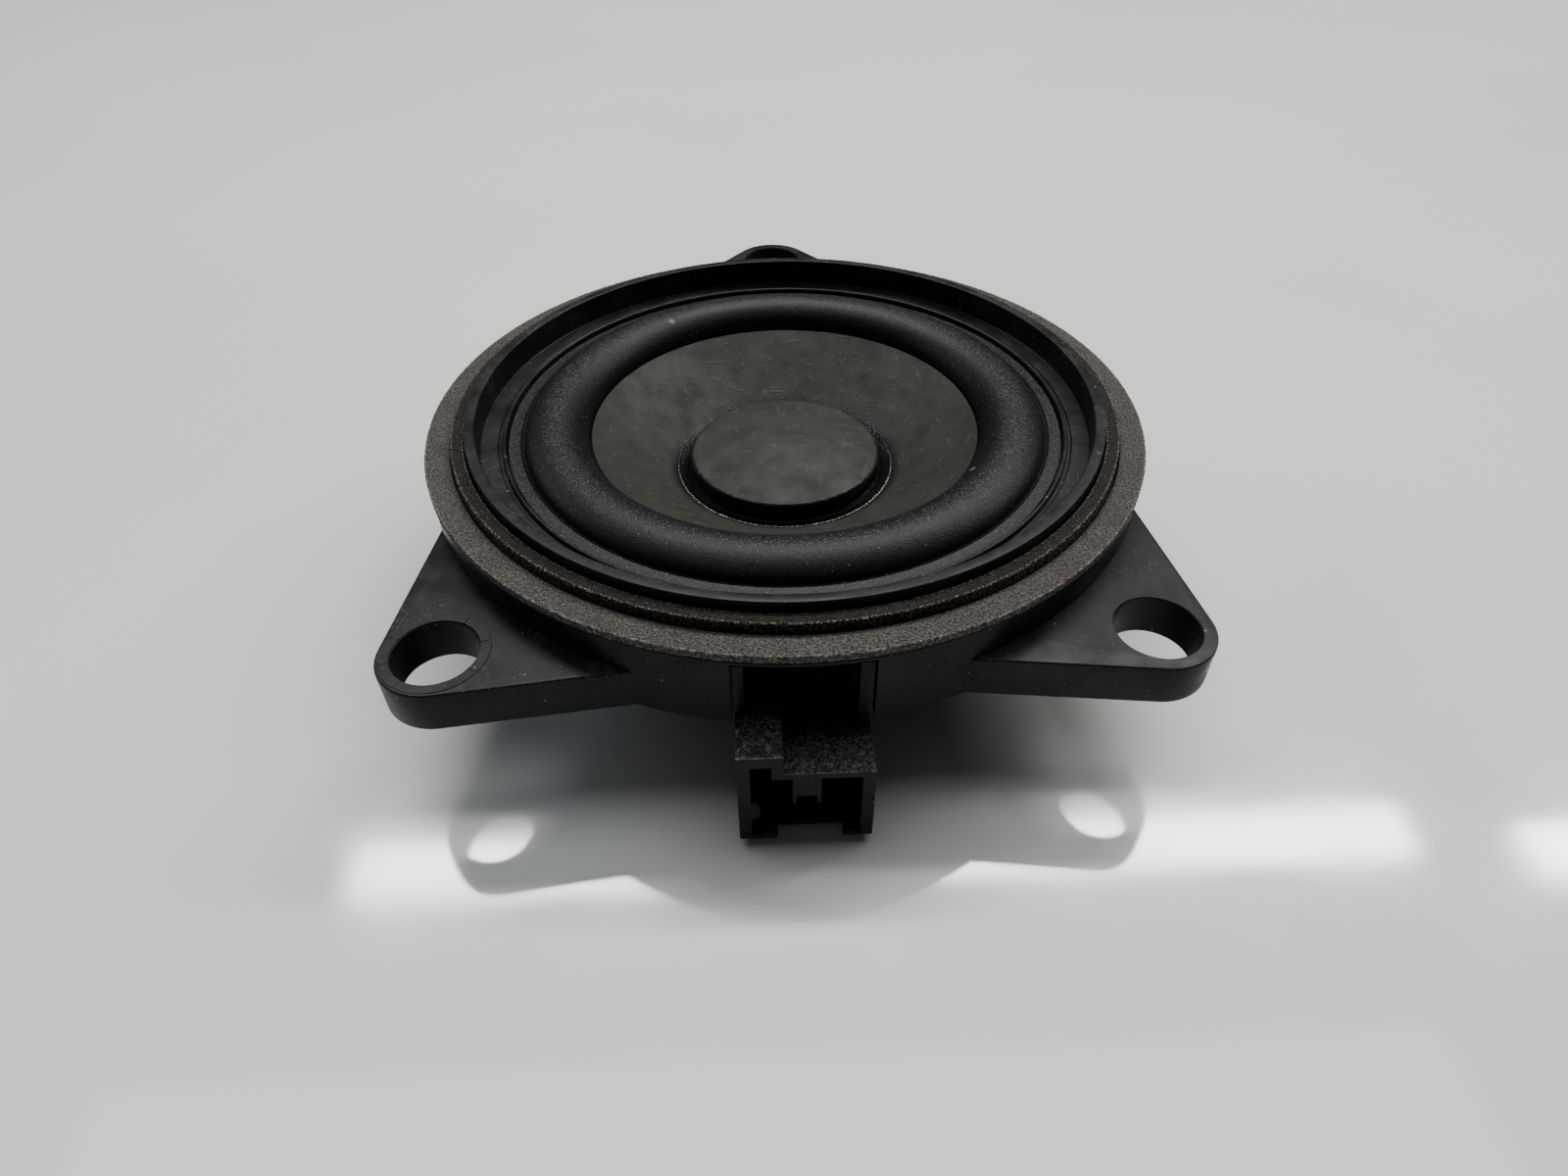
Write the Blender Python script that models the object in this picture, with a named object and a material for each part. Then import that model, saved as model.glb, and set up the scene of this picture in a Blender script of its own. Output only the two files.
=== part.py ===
"""Shallow four-inch door loudspeaker, standing on the flat back of its motor.

Units are metres. +Z points out of the cone, towards the listener, and z = 0 is the motor's
flat back. The connector faces -Y. Ears stand at -135, -45 and +90 degrees.
"""

import math

import bmesh
import bpy
from mathutils import Matrix, Vector

# --- clearances ---------------------------------------------------------------------------
GAP = 0.0003  # between two pieces that touch
COIL_GAP = 0.0001  # between the winding and the former it is wound on
OVERLAP = 0.0008  # how far a shape reaches into the one it is united with
CUT = 0.002  # how far a cutter runs past the face it cuts
ON_AXIS = 1e-5  # points nearer the axis than this are put on it
MERGE = 1e-7  # points nearer each other than this are made one

# --- moulded basket -----------------------------------------------------------------------
FRAME_R = 0.0518  # outside of the drum wall
FACE_Z = 0.0257  # gasket face above the motor's back
SKIRT_H = 0.0103
SKIRT_WALL = 0.0022
PLATE_T = 0.0029
GASKET_BAND = 0.0057  # from the drum wall in to the lip
LIP_W = 0.0015
LIP_H = 0.00405
SHELF_W = 0.0031
BEAD_W = 0.0006
BEAD_H = 0.0005
LEDGE_W = 0.0025
LEDGE_DROP = 0.00115
ARM_COUNT = 6
ARM_W = 0.005
ARM_H = 0.003
MOTOR_RING_WALL = 0.0023
MOTOR_RING_Z = 0.0035
SHOULDER_W = 0.0012
SHOULDER_T = 0.0006
LANDING_W = 0.0032
LANDING_DEPTH = 0.0021  # hollow under the spider
LANDING_FLOOR = 0.0019

# --- ears ---------------------------------------------------------------------------------
EAR_ANGLES = (-135.0, -45.0, 90.0)
EAR_REACH = 0.0098  # hole centre beyond the drum wall
EAR_SPREAD = 22.5  # half the angle that an ear's root takes on the drum
EAR_RIM = 0.0018  # width of the ear's tip round its hole
EAR_HOLE_R = 0.00525
EAR_T = 0.00585
REAR_EAR_RISE = 0.0016
EAR_WALL = 0.0018
EAR_SKIN = 0.0020
PAD_W = 0.0014
PAD_H = 0.00015

# --- gaskets ------------------------------------------------------------------------------
OUTER_GASKET_T = 0.0010
INNER_GASKET_T = 0.0024
INNER_GASKET_W = 0.0018
GASKET_OVERHANG = 0.0002

# --- motor --------------------------------------------------------------------------------
COIL_R = 0.0125  # inside of the former
FORMER_T = 0.00025
WINDING_T = 0.0006
WINDING_H = 0.0038
POLE_CLEARANCE = 0.0006
YOKE_CLEARANCE = 0.00065
YOKE_WALL = 0.0033
YOKE_BASE = 0.0028
YOKE_CHAMFER = 0.0008
MAGNET_H = 0.0026
MAGNET_INSET = 0.0007
PLATE_H = 0.0026
SPIDER_RISE = 0.0033  # spider's middle plane above the yoke's rim
COIL_PAD_ANGLE = 13.0  # each side of the connector's direction
COIL_PAD_W = 0.0026
COIL_PAD_H = 0.0014
COIL_PAD_T = 0.0004

# --- cone and its suspension --------------------------------------------------------------
SURROUND_T = 0.0006
ROLL_W = 0.0087
ROLL_H = 0.0027  # crest above the outer foot
FOOT_INSET = 0.0002
CONE_T = 0.0005
CONE_EDGE = 0.0006  # cone's rim inside the roll's inner foot
CONE_RIM_DROP = 0.0010  # below the surround's flange
NECK_RISE = 0.0029  # cone's neck above the spider
SPIDER_T = 0.0004
SPIDER_WAVE = 0.00045
SPIDER_WAVES = 3
SPIDER_W = 0.0113  # between the former and the landing
SURROUND_GLUE_W = 0.0017
CAP_T = 0.0004
CAP_BEYOND_COIL = 0.0016
CAP_WALL_H = 0.0024
CAP_CROWN = 0.0020
CAP_FLANGE_W = 0.00195

# --- connector ----------------------------------------------------------------------------
SOCKET_X = (-0.00805, 0.0082)
SOCKET_PROUD = 0.0062  # mouth beyond the drum wall
SOCKET_DEPTH = 0.0134
SOCKET_H = 0.0156
SOCKET_ABOVE_SKIRT = 0.0016  # high block's top above the drum's lower edge
SOCKET_STEP = 0.0031
SOCKET_STEP_X = -0.00255
SOCKET_WALL = 0.00155
SOCKET_BACK = 0.0012
PANEL_T = 0.0008  # panel that closes the drum's window behind the rails
PANEL_INSET = 0.0002
KEY_X = -0.004
KEY_ROOF = 0.00175
ROOF = 0.0009
FLOOR = 0.0007
FLOOR_NOTCH_X = (-0.0034, 0.0046)
FLOOR_NOTCH_Y = 0.0019
TAB_X = (-0.00155, 0.0018)
TAB_H = 0.0032
TAB_FOOT = (0.00045, 0.0014)
RIB_Z = (0.0041, 0.0072)  # above the socket's underside
RIB_L = 0.0017
RIB_NOSE = 0.6  # length of the rib's round nose, as a share of its radius
RAIL_W = (0.00125, 0.0017)
RAIL_T = 0.0025
WINDOW_ROOF = 0.0005
PIN_X = (-0.003, 0.0036)
PIN_W = 0.0015
PIN_T = 0.0006
PIN_Z = 0.0056  # above the socket's underside
PIN_REACH = 0.0070  # blade ahead of the socket's back wall
TAG_DROP = 0.0026  # tag's end below the drum's lower edge
LEAD_D = 0.0009
LEAD_RISE = 0.0032  # slack that lets the lead follow the cone

# --- resolution ---------------------------------------------------------------------------
SIDES_DRUM = 72
SIDES_CONE = 60
SIDES_MOTOR = 48
SIDES_HOLE = 28
ROLL_STEPS = 10
STEPS_PER_WAVE = 4
LEAD_STEPS = 14
EAR_STEPS = 12
CROWN_STEPS = 6
RIB_STEPS = 6
LEAD_FACETS = 2  # rounding of a lead between its quarter points
SHARP = math.radians(38)

# --- worked out from the values above -----------------------------------------------------
lip_r_out = FRAME_R - GASKET_BAND
lip_r_in = lip_r_out - LIP_W
bead_r_out = lip_r_in - SHELF_W
ledge_r_out = bead_r_out - BEAD_W
ledge_r_in = ledge_r_out - LEDGE_W
ledge_z = FACE_Z - LEDGE_DROP
plate_z = FACE_Z - PLATE_T
skirt_z = FACE_Z - SKIRT_H
skirt_r_in = FRAME_R - SKIRT_WALL
ear_r = FRAME_R + EAR_REACH
ear_tip_r = EAR_HOLE_R + EAR_RIM

former_r = COIL_R + FORMER_T
winding_r_in = former_r + COIL_GAP
winding_r = winding_r_in + WINDING_T
pole_r = COIL_R - POLE_CLEARANCE
magnet_r = pole_r - MAGNET_INSET
yoke_r_in = winding_r + YOKE_CLEARANCE
yoke_r = yoke_r_in + YOKE_WALL
magnet_z = YOKE_BASE + GAP
pole_z = magnet_z + MAGNET_H + GAP
yoke_top = pole_z + PLATE_H
motor_ring_r = yoke_r + GAP
spider_z = yoke_top + SPIDER_RISE
landing_z = spider_z - SPIDER_T / 2 - GAP
spider_r_in = former_r + GAP
landing_r_in = former_r + SPIDER_W
landing_r = landing_r_in + LANDING_W

foot_r = ledge_r_in - FOOT_INSET
flange_z = ledge_z + GAP + SURROUND_T / 2
cone_r = foot_r - ROLL_W - CONE_EDGE
cone_rim_z = flange_z - CONE_RIM_DROP
neck_r = former_r + GAP + CONE_T / 2
neck_z = spider_z + NECK_RISE
cone_tilt = math.atan2(cone_rim_z - neck_z, cone_r - neck_r)
cone_normal = Vector((-math.sin(cone_tilt), math.cos(cone_tilt)))
glue_offset = CONE_T / 2 + GAP + SURROUND_T / 2
cap_r = former_r + CAP_BEYOND_COIL
coil_pad_z = spider_z + SPIDER_T / 2 + GAP
former_z = yoke_top - PLATE_H / 2 - WINDING_H / 2 - GAP

socket_y = -FRAME_R - SOCKET_PROUD
socket_back_y = socket_y + SOCKET_DEPTH
socket_high = skirt_z + SOCKET_ABOVE_SKIRT
socket_low = socket_high - SOCKET_STEP
socket_z = socket_high - SOCKET_H


def cone_mid(radius, offset=0.0):
    """Point (r, z) on the cone's middle surface, moved along its normal by an offset."""
    height = neck_z + (radius - neck_r) * math.tan(cone_tilt)
    return Vector((radius, height)) + cone_normal * offset


def strip(mid, thickness):
    """Closed outline of a strip of even thickness round a middle line of (r, z) points."""
    points = [Vector(p) for p in mid]
    upper, lower = [], []
    for i, point in enumerate(points):
        before = points[max(i - 1, 0)]
        after = points[min(i + 1, len(points) - 1)]
        along = (after - before).normalized()
        normal = Vector((-along.y, along.x)) * thickness / 2
        upper.append(point + normal)
        lower.append(point - normal)
    return lower + upper[::-1]


def on_axis(outline):
    """The outline with points that came near the axis put exactly on it."""
    return [Vector((0.0 if p.x < ON_AXIS else p.x, p.y)) for p in outline]


# --- building blocks ----------------------------------------------------------------------
def finish(name, mesh_builder, material=None):
    """Turn a bmesh into a named object with outward faces and smooth round sides."""
    bmesh.ops.recalc_face_normals(mesh_builder, faces=mesh_builder.faces)
    mesh = bpy.data.meshes.new(name)
    mesh_builder.to_mesh(mesh)
    mesh_builder.free()
    mesh.shade_smooth()
    mesh.set_sharp_from_angle(angle=SHARP)
    obj = bpy.data.objects.new(name, mesh)
    bpy.context.scene.collection.objects.link(obj)
    if material:
        mesh.materials.append(material)
    return obj


def lathe(name, outline, sides, material=None):
    """Spin a closed (r, z) outline about the Z axis."""
    bm = bmesh.new()
    corners = [bm.verts.new((p[0], 0.0, p[1])) for p in outline]
    edges = [bm.edges.new((a, b)) for a, b in zip(corners, corners[1:] + corners[:1])]
    bmesh.ops.spin(bm, geom=corners + edges, cent=(0, 0, 0), axis=(0, 0, 1),
                   angle=math.tau, steps=sides, use_merge=True)
    bmesh.ops.remove_doubles(bm, verts=bm.verts, dist=MERGE)
    bmesh.ops.dissolve_degenerate(bm, edges=bm.edges, dist=MERGE)
    return finish(name, bm, material)


def add_prism(bm, outline, lift, place=None):
    """Extrude a closed outline of 3-D points by a vector, inside an existing bmesh."""
    corners = [bm.verts.new(p) for p in outline]
    face = bm.faces.new(corners)
    grown = bmesh.ops.extrude_face_region(bm, geom=[face])["geom"]
    lifted = [v for v in grown if isinstance(v, bmesh.types.BMVert)]
    bmesh.ops.translate(bm, verts=lifted, vec=lift)
    if place:
        bmesh.ops.transform(bm, matrix=place, verts=corners + lifted)


def prism(name, outline, lift, material=None):
    """One extruded outline as an object."""
    bm = bmesh.new()
    add_prism(bm, outline, lift)
    return finish(name, bm, material)


def add_box(bm, low, high):
    """A box between two corners, inside an existing bmesh."""
    x0, y0, z0 = low
    x1, y1, z1 = high
    add_prism(bm, [(x0, y0, z0), (x1, y0, z0), (x1, y1, z0), (x0, y1, z0)], (0, 0, z1 - z0))


def box(name, low, high):
    """A box between two corners as an object."""
    bm = bmesh.new()
    add_box(bm, low, high)
    return finish(name, bm)


def circle(centre, radius, sides, z):
    """Corners of a level circle."""
    turns = [math.tau * i / sides for i in range(sides)]
    return [(centre[0] + radius * math.cos(a), centre[1] + radius * math.sin(a), z) for a in turns]


def helper(obj):
    """Mark an object as a tool shape that is not a piece."""
    obj.hide_render = True
    obj.display_type = "WIRE"
    return obj


def combine(target, tool, operation):
    """Add a Boolean modifier that unites or cuts with a helper shape."""
    modifier = target.modifiers.new(tool.name, "BOOLEAN")
    modifier.operation = operation
    modifier.object = helper(tool)


def polar(radius, degrees):
    """Matrix that puts a shape drawn along +X at an angle about Z, a distance out."""
    return Matrix.Rotation(math.radians(degrees), 4, "Z") @ Matrix.Translation((radius, 0, 0))


def paint(name, colour, roughness, metallic=0.0):
    """A Principled material for one sub-part."""
    material = bpy.data.materials.new(name)
    material.use_nodes = True
    shader = material.node_tree.nodes["Principled BSDF"]
    shader.inputs["Base Color"].default_value = (*colour, 1.0)
    shader.inputs["Roughness"].default_value = roughness
    shader.inputs["Metallic"].default_value = metallic
    return material


# --- basket -------------------------------------------------------------------------------
def drum_outline():
    """Drum wall, gasket face, lip, shelf, bead and the ledge that the surround is glued to."""
    return [
        (FRAME_R, skirt_z), (FRAME_R, FACE_Z), (lip_r_out, FACE_Z), (lip_r_out, FACE_Z + LIP_H),
        (lip_r_in, FACE_Z + LIP_H), (lip_r_in, FACE_Z), (bead_r_out, FACE_Z),
        (bead_r_out, FACE_Z + BEAD_H), (ledge_r_out, FACE_Z + BEAD_H), (ledge_r_out, ledge_z),
        (ledge_r_in, ledge_z), (ledge_r_in, plate_z), (skirt_r_in, plate_z), (skirt_r_in, skirt_z),
    ]


def motor_seat_outline():
    """Ring that grips the yoke, with a shoulder over its rim and the spider's landing."""
    floor_z = landing_z - LANDING_DEPTH
    shoulder_z = yoke_top + GAP
    ring_out = motor_ring_r + MOTOR_RING_WALL
    return [
        (motor_ring_r, MOTOR_RING_Z), (ring_out, MOTOR_RING_Z),
        (ring_out, floor_z - LANDING_FLOOR - GAP), (landing_r - GAP, floor_z - LANDING_FLOOR),
        (landing_r, landing_z - GAP), (landing_r, landing_z), (landing_r_in, landing_z),
        (landing_r_in, floor_z), (motor_ring_r - SHOULDER_W, shoulder_z + SHOULDER_T),
        (motor_ring_r - SHOULDER_W, shoulder_z), (motor_ring_r, shoulder_z),
    ]


def make_arms():
    """Straight arms from the motor seat up to the drum's lower edge."""
    bm = bmesh.new()
    r0 = landing_r - OVERLAP
    r1 = skirt_r_in + OVERLAP
    z0 = landing_z - LANDING_DEPTH - LANDING_FLOOR + GAP
    side = [(r0, z0), (r1, skirt_z), (r1, skirt_z + ARM_H), (r0, z0 + ARM_H)]
    outline = [(r, -ARM_W / 2, z) for r, z in side]
    for i in range(ARM_COUNT):
        add_prism(bm, outline, (0, ARM_W, 0), polar(0, 360.0 * i / ARM_COUNT))
    return finish("basket_arms", bm)


def ear_outline(inset, root_r, z):
    """Triangular ear along +X: straight sides tangent to a round tip, from a root on the drum."""
    spread = math.radians(EAR_SPREAD)
    root = Vector((FRAME_R * math.cos(spread), FRAME_R * math.sin(spread)))
    to_tip = Vector((ear_r, 0.0)) - root
    heading = math.atan2(to_tip.y, to_tip.x)
    # The side leaves the root at this angle and touches the tip's circle.
    side = heading + math.asin(ear_tip_r / to_tip.length)
    normal = side + math.pi / 2
    radius = ear_tip_r - inset
    arc = [-normal + 2 * normal * i / EAR_STEPS for i in range(EAR_STEPS + 1)]
    tip = [(ear_r + radius * math.cos(a), radius * math.sin(a), z) for a in arc]
    shift = Vector((math.cos(normal), math.sin(normal))) * inset
    start = root - shift
    run = (start.x - root_r) / math.cos(side)
    base = start - Vector((math.cos(side), math.sin(side))) * run
    return [(base.x, -base.y, z)] + tip + [(base.x, base.y, z)]


def ear_top(degrees):
    """Height of an ear's front face."""
    rise = REAR_EAR_RISE if degrees > 0 else 0.0
    return skirt_z + EAR_T + rise


def make_ears():
    """The three ears before their holes are cut."""
    bm = bmesh.new()
    root_r = FRAME_R * math.cos(math.radians(EAR_SPREAD)) - OVERLAP
    for degrees in EAR_ANGLES:
        height = ear_top(degrees) - skirt_z
        add_prism(bm, ear_outline(0.0, root_r, skirt_z), (0, 0, height), polar(0, degrees))
    ears = finish("basket_ears", bm)
    core = circle((0, 0), skirt_r_in + SKIRT_WALL / 2, SIDES_DRUM, skirt_z - CUT)
    inside = prism("ear_roots", core, (0, 0, EAR_T + REAR_EAR_RISE + 2 * CUT))
    combine(ears, inside, "DIFFERENCE")
    return ears


def make_pad():
    """Low round pad about the first ear's hole."""
    place = polar(ear_r, EAR_ANGLES[0])
    z0 = ear_top(EAR_ANGLES[0]) - OVERLAP
    bm = bmesh.new()
    outline = circle((0, 0), EAR_HOLE_R + PAD_W, SIDES_HOLE, z0)
    add_prism(bm, outline, (0, 0, OVERLAP + PAD_H), place)
    return finish("ear_pad", bm)


def make_ear_holes():
    """Cutter for the three screw holes."""
    bm = bmesh.new()
    for degrees in EAR_ANGLES:
        outline = circle((0, 0), EAR_HOLE_R, SIDES_HOLE, skirt_z - CUT)
        add_prism(bm, outline, (0, 0, EAR_T + REAR_EAR_RISE + 2 * CUT), polar(ear_r, degrees))
    return finish("ear_holes", bm)


def make_ear_cores():
    """Cutter that hollows the ears from below and leaves a boss about each hole."""
    bm = bmesh.new()
    for degrees in EAR_ANGLES:
        depth = ear_top(degrees) - skirt_z - EAR_SKIN
        outline = ear_outline(EAR_WALL, FRAME_R + EAR_WALL / 2, skirt_z - CUT)
        add_prism(bm, outline, (0, 0, depth + CUT), polar(0, degrees))
    cores = finish("ear_cores", bm)
    bosses = bmesh.new()
    for degrees in EAR_ANGLES:
        outline = circle((0, 0), ear_tip_r, SIDES_HOLE, skirt_z - 2 * CUT)
        add_prism(bosses, outline, (0, 0, EAR_T + REAR_EAR_RISE + 4 * CUT), polar(ear_r, degrees))
    combine(cores, finish("ear_bosses", bosses), "DIFFERENCE")
    return cores


def make_socket_window():
    """Cutter for the slot in the drum that the connector's rails stand in."""
    low = (SOCKET_X[0] - GAP, -FRAME_R - CUT, skirt_z - CUT)
    high = (SOCKET_X[1] + GAP, -lip_r_out - OVERLAP, FACE_Z - WINDOW_ROOF)
    return box("socket_window", low, high)


def make_basket(material):
    """Moulded frame in one piece."""
    basket = lathe("basket", drum_outline(), SIDES_DRUM, material)
    seat = lathe("motor_seat", motor_seat_outline(), SIDES_MOTOR)
    for piece in (make_arms(), seat, make_ears(), make_pad()):
        combine(basket, piece, "UNION")
    for cutter in (make_ear_cores(), make_ear_holes(), make_socket_window()):
        combine(basket, cutter, "DIFFERENCE")
    return basket


# --- gaskets ------------------------------------------------------------------------------
def ring_outline(r_in, r_out, z0, z1):
    """Rectangle turned into a ring."""
    return [(r_in, z0), (r_out, z0), (r_out, z1), (r_in, z1)]


def make_gaskets(outer_material, inner_material):
    """Tall narrow foam ring against the lip, and the wide flat one outside it."""
    inner_r = lip_r_out + GAP
    inner_r_out = inner_r + INNER_GASKET_W
    z0 = FACE_Z + GAP
    inner = ring_outline(inner_r, inner_r_out, z0, z0 + INNER_GASKET_T)
    outer = ring_outline(inner_r_out + GAP, FRAME_R + GASKET_OVERHANG, z0, z0 + OUTER_GASKET_T)
    return [
        lathe("inner_gasket", inner, SIDES_DRUM, inner_material),
        lathe("outer_gasket", outer, SIDES_DRUM, outer_material),
    ]


# --- moving parts and suspension ----------------------------------------------------------
def make_surround(material):
    """Half-roll rubber edge, glued under the cone's rim and on the basket's ledge."""
    inner = cone_mid(cone_r - SURROUND_GLUE_W, -glue_offset)
    rim = cone_mid(cone_r, -glue_offset)
    middle = (rim.x + foot_r) / 2
    half = (foot_r - rim.x) / 2
    roll = []
    for i in range(ROLL_STEPS + 1):
        share = i / ROLL_STEPS
        angle = math.pi * (1 - share)
        base = rim.y * (1 - share) + flange_z * share
        crest = ROLL_H + (flange_z - base)
        roll.append((middle + half * math.cos(angle), base + crest * math.sin(angle)))
    mid = [inner, *roll, (ledge_r_out - GAP, flange_z)]
    return lathe("surround", strip(mid, SURROUND_T), SIDES_CONE, material)


def make_cone(material):
    """Straight-sided paper cone."""
    mid = [cone_mid(neck_r), cone_mid((neck_r + cone_r) / 2), cone_mid(cone_r)]
    return lathe("cone", strip(mid, CONE_T), SIDES_CONE, material)


def make_dust_cap(material):
    """Cup-shaped cap: sloping flange on the cone, upright wall and shallow crown."""
    seat = CONE_T / 2 + GAP + CAP_T / 2
    lean = seat * math.sin(cone_tilt)
    flange = cone_mid(cap_r + CAP_FLANGE_W + lean, seat)
    foot = cone_mid(cap_r + CAP_T + lean, seat)
    wall_z = foot.y + CAP_WALL_H
    radius = (cap_r ** 2 + CAP_CROWN ** 2) / (2 * CAP_CROWN)
    edge = math.asin(cap_r / radius)
    crown = []
    for i in range(1, CROWN_STEPS + 1):
        angle = edge * (1 - i / CROWN_STEPS)
        crown.append((radius * math.sin(angle), wall_z + CAP_CROWN - radius * (1 - math.cos(angle))))
    mid = [flange, foot, (cap_r, foot.y + CAP_T), (cap_r, wall_z), *crown]
    outline = on_axis(strip(mid, CAP_T))
    return lathe("dust_cap", outline, SIDES_MOTOR, material)


def make_coil(former_material, winding_material):
    """Former tube from the gap up to the cone's neck, and the winding round it."""
    top = cone_mid(neck_r).y + CONE_T
    former = ring_outline(COIL_R, former_r, former_z, top)
    low = former_z + GAP
    winding = ring_outline(winding_r_in, winding_r, low, low + WINDING_H)
    return [
        lathe("voice_coil_former", former, SIDES_MOTOR, former_material),
        lathe("voice_coil_winding", winding, SIDES_MOTOR, winding_material),
    ]


def make_spider(material):
    """Corrugated cloth disc between the former and its landing."""
    wave_in = spider_r_in + 2 * SPIDER_T
    wave_out = landing_r_in
    steps = SPIDER_WAVES * STEPS_PER_WAVE
    mid = [(spider_r_in, spider_z)]
    for i in range(steps + 1):
        share = i / steps
        height = SPIDER_WAVE * math.sin(math.tau * SPIDER_WAVES * share)
        mid.append((wave_in + (wave_out - wave_in) * share, spider_z + height))
    mid.append((landing_r - GAP, spider_z))
    return lathe("spider", strip(mid, SPIDER_T), SIDES_MOTOR, material)


# --- motor --------------------------------------------------------------------------------
def make_motor(steel, magnet_material, plate_material):
    """Steel cup, disc magnet and pole plate."""
    cup = [
        (0, 0), (yoke_r - YOKE_CHAMFER, 0), (yoke_r, YOKE_CHAMFER), (yoke_r, yoke_top),
        (yoke_r_in, yoke_top), (yoke_r_in, YOKE_BASE), (0, YOKE_BASE),
    ]
    magnet = [(0, magnet_z), (magnet_r, magnet_z), (magnet_r, magnet_z + MAGNET_H),
              (0, magnet_z + MAGNET_H)]
    plate = [(0, pole_z), (pole_r, pole_z), (pole_r, yoke_top), (0, yoke_top)]
    return [
        lathe("yoke_cup", cup, SIDES_MOTOR, steel),
        lathe("magnet_disc", magnet, SIDES_MOTOR, magnet_material),
        lathe("pole_plate", plate, SIDES_MOTOR, plate_material),
    ]


# --- connector ----------------------------------------------------------------------------
def make_socket_cavity():
    """Cutter for the plug's space: keyway, hanging tab with two feet, and a rounded rib."""
    left = SOCKET_X[0] + SOCKET_WALL
    right = SOCKET_X[1] - SOCKET_WALL
    roof = socket_low - ROOF
    tab_z = roof - TAB_H
    foot_w, foot_h = TAB_FOOT
    rib_low = socket_z + RIB_Z[0]
    rib_high = socket_z + RIB_Z[1]
    rib_r = (rib_high - rib_low) / 2
    turns = [math.pi / 2 - math.pi * i / RIB_STEPS for i in range(RIB_STEPS + 1)]
    nose = left + RIB_L - rib_r
    rib = [(nose + RIB_NOSE * rib_r * math.cos(a), rib_low + rib_r + rib_r * math.sin(a))
           for a in turns]
    outline = [
        (left, socket_z + FLOOR), (right, socket_z + FLOOR), (right, roof),
        (TAB_X[1], roof), (TAB_X[1], tab_z - foot_h), (TAB_X[1] - foot_w, tab_z - foot_h),
        (TAB_X[1] - foot_w, tab_z), (TAB_X[0] + foot_w, tab_z),
        (TAB_X[0] + foot_w, tab_z - foot_h), (TAB_X[0], tab_z - foot_h), (TAB_X[0], roof),
        (KEY_X, roof), (KEY_X, socket_high - KEY_ROOF), (left, socket_high - KEY_ROOF),
        (left, rib_high), *rib, (left, rib_low),
    ]
    points = [(x, socket_y - CUT, z) for x, z in outline]
    return prism("socket_cavity", points, (0, SOCKET_DEPTH - SOCKET_BACK + CUT, 0))


def make_socket_slots():
    """Cutter for the floor notch at the mouth and the two slots that the pins pass through."""
    bm = bmesh.new()
    add_box(bm, (FLOOR_NOTCH_X[0], socket_y - CUT, socket_z - CUT),
            (FLOOR_NOTCH_X[1], socket_y + FLOOR_NOTCH_Y, socket_z + FLOOR + GAP))
    for x in PIN_X:
        low = (x - PIN_W / 2 - GAP, socket_back_y - SOCKET_BACK - GAP, socket_z + PIN_Z - GAP)
        high = (x + PIN_W / 2 + GAP, socket_back_y + CUT, socket_z + PIN_Z + PIN_T + GAP)
        add_box(bm, low, high)
    return finish("socket_slots", bm)


def make_connector(material):
    """Two-step socket body, the rails that stand in the drum's window and the panel behind it."""
    x0, x1 = SOCKET_X
    outline = [(x0, socket_z), (x1, socket_z), (x1, socket_low), (SOCKET_STEP_X, socket_low),
               (SOCKET_STEP_X, socket_high), (x0, socket_high)]
    points = [(x, socket_y, z) for x, z in outline]
    body = prism("connector_housing", points, (0, SOCKET_DEPTH, 0), material)
    rails = bmesh.new()
    front = -math.sqrt(FRAME_R ** 2 - max(-x0, x1) ** 2)
    top = FACE_Z - WINDOW_ROOF - GAP
    add_box(rails, (x0, front, socket_high - OVERLAP), (x0 + RAIL_W[0], front + RAIL_T, top))
    add_box(rails, (x1 - RAIL_W[1], front, socket_low - OVERLAP / 2), (x1, front + RAIL_T, top))
    combine(body, finish("connector_rails", rails), "UNION")
    panel_y = socket_back_y - PANEL_INSET
    panel = box("connector_panel", (x0 + PANEL_INSET, panel_y - PANEL_T, socket_low - OVERLAP / 2),
                (x1 - PANEL_INSET, panel_y, plate_z - GAP))
    combine(body, panel, "UNION")
    combine(body, make_socket_cavity(), "DIFFERENCE")
    combine(body, make_socket_slots(), "DIFFERENCE")
    return body


def make_pin(name, x, material):
    """Blade in the socket, bent up behind it into a solder tag."""
    z0 = socket_z + PIN_Z
    tip = socket_back_y - SOCKET_BACK - PIN_REACH
    back = socket_back_y + GAP + PIN_T
    chamfer = PIN_T / 3
    side = [
        (tip + 2 * chamfer, z0), (back, z0), (back, skirt_z - TAG_DROP),
        (back - PIN_T, skirt_z - TAG_DROP), (back - PIN_T, z0 + PIN_T),
        (tip + 2 * chamfer, z0 + PIN_T), (tip, z0 + PIN_T - chamfer), (tip, z0 + chamfer),
    ]
    outline = [(x - PIN_W / 2, y, z) for y, z in side]
    return prism(name, outline, (PIN_W, 0, 0), material)


def make_coil_pads(material):
    """Two foil pads on the former, above the spider, where the leads are soldered."""
    pads = []
    for side, turn in (("left", -COIL_PAD_ANGLE), ("right", COIL_PAD_ANGLE)):
        r0 = former_r + GAP
        half = COIL_PAD_W / 2
        outline = [(r0, -half, coil_pad_z), (r0 + COIL_PAD_T, -half, coil_pad_z),
                   (r0 + COIL_PAD_T, half, coil_pad_z), (r0, half, coil_pad_z)]
        bm = bmesh.new()
        add_prism(bm, outline, (0, 0, COIL_PAD_H), polar(0, -90.0 + turn))
        pads.append(finish(f"coil_pad_{side}", bm, material))
    return pads


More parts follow.
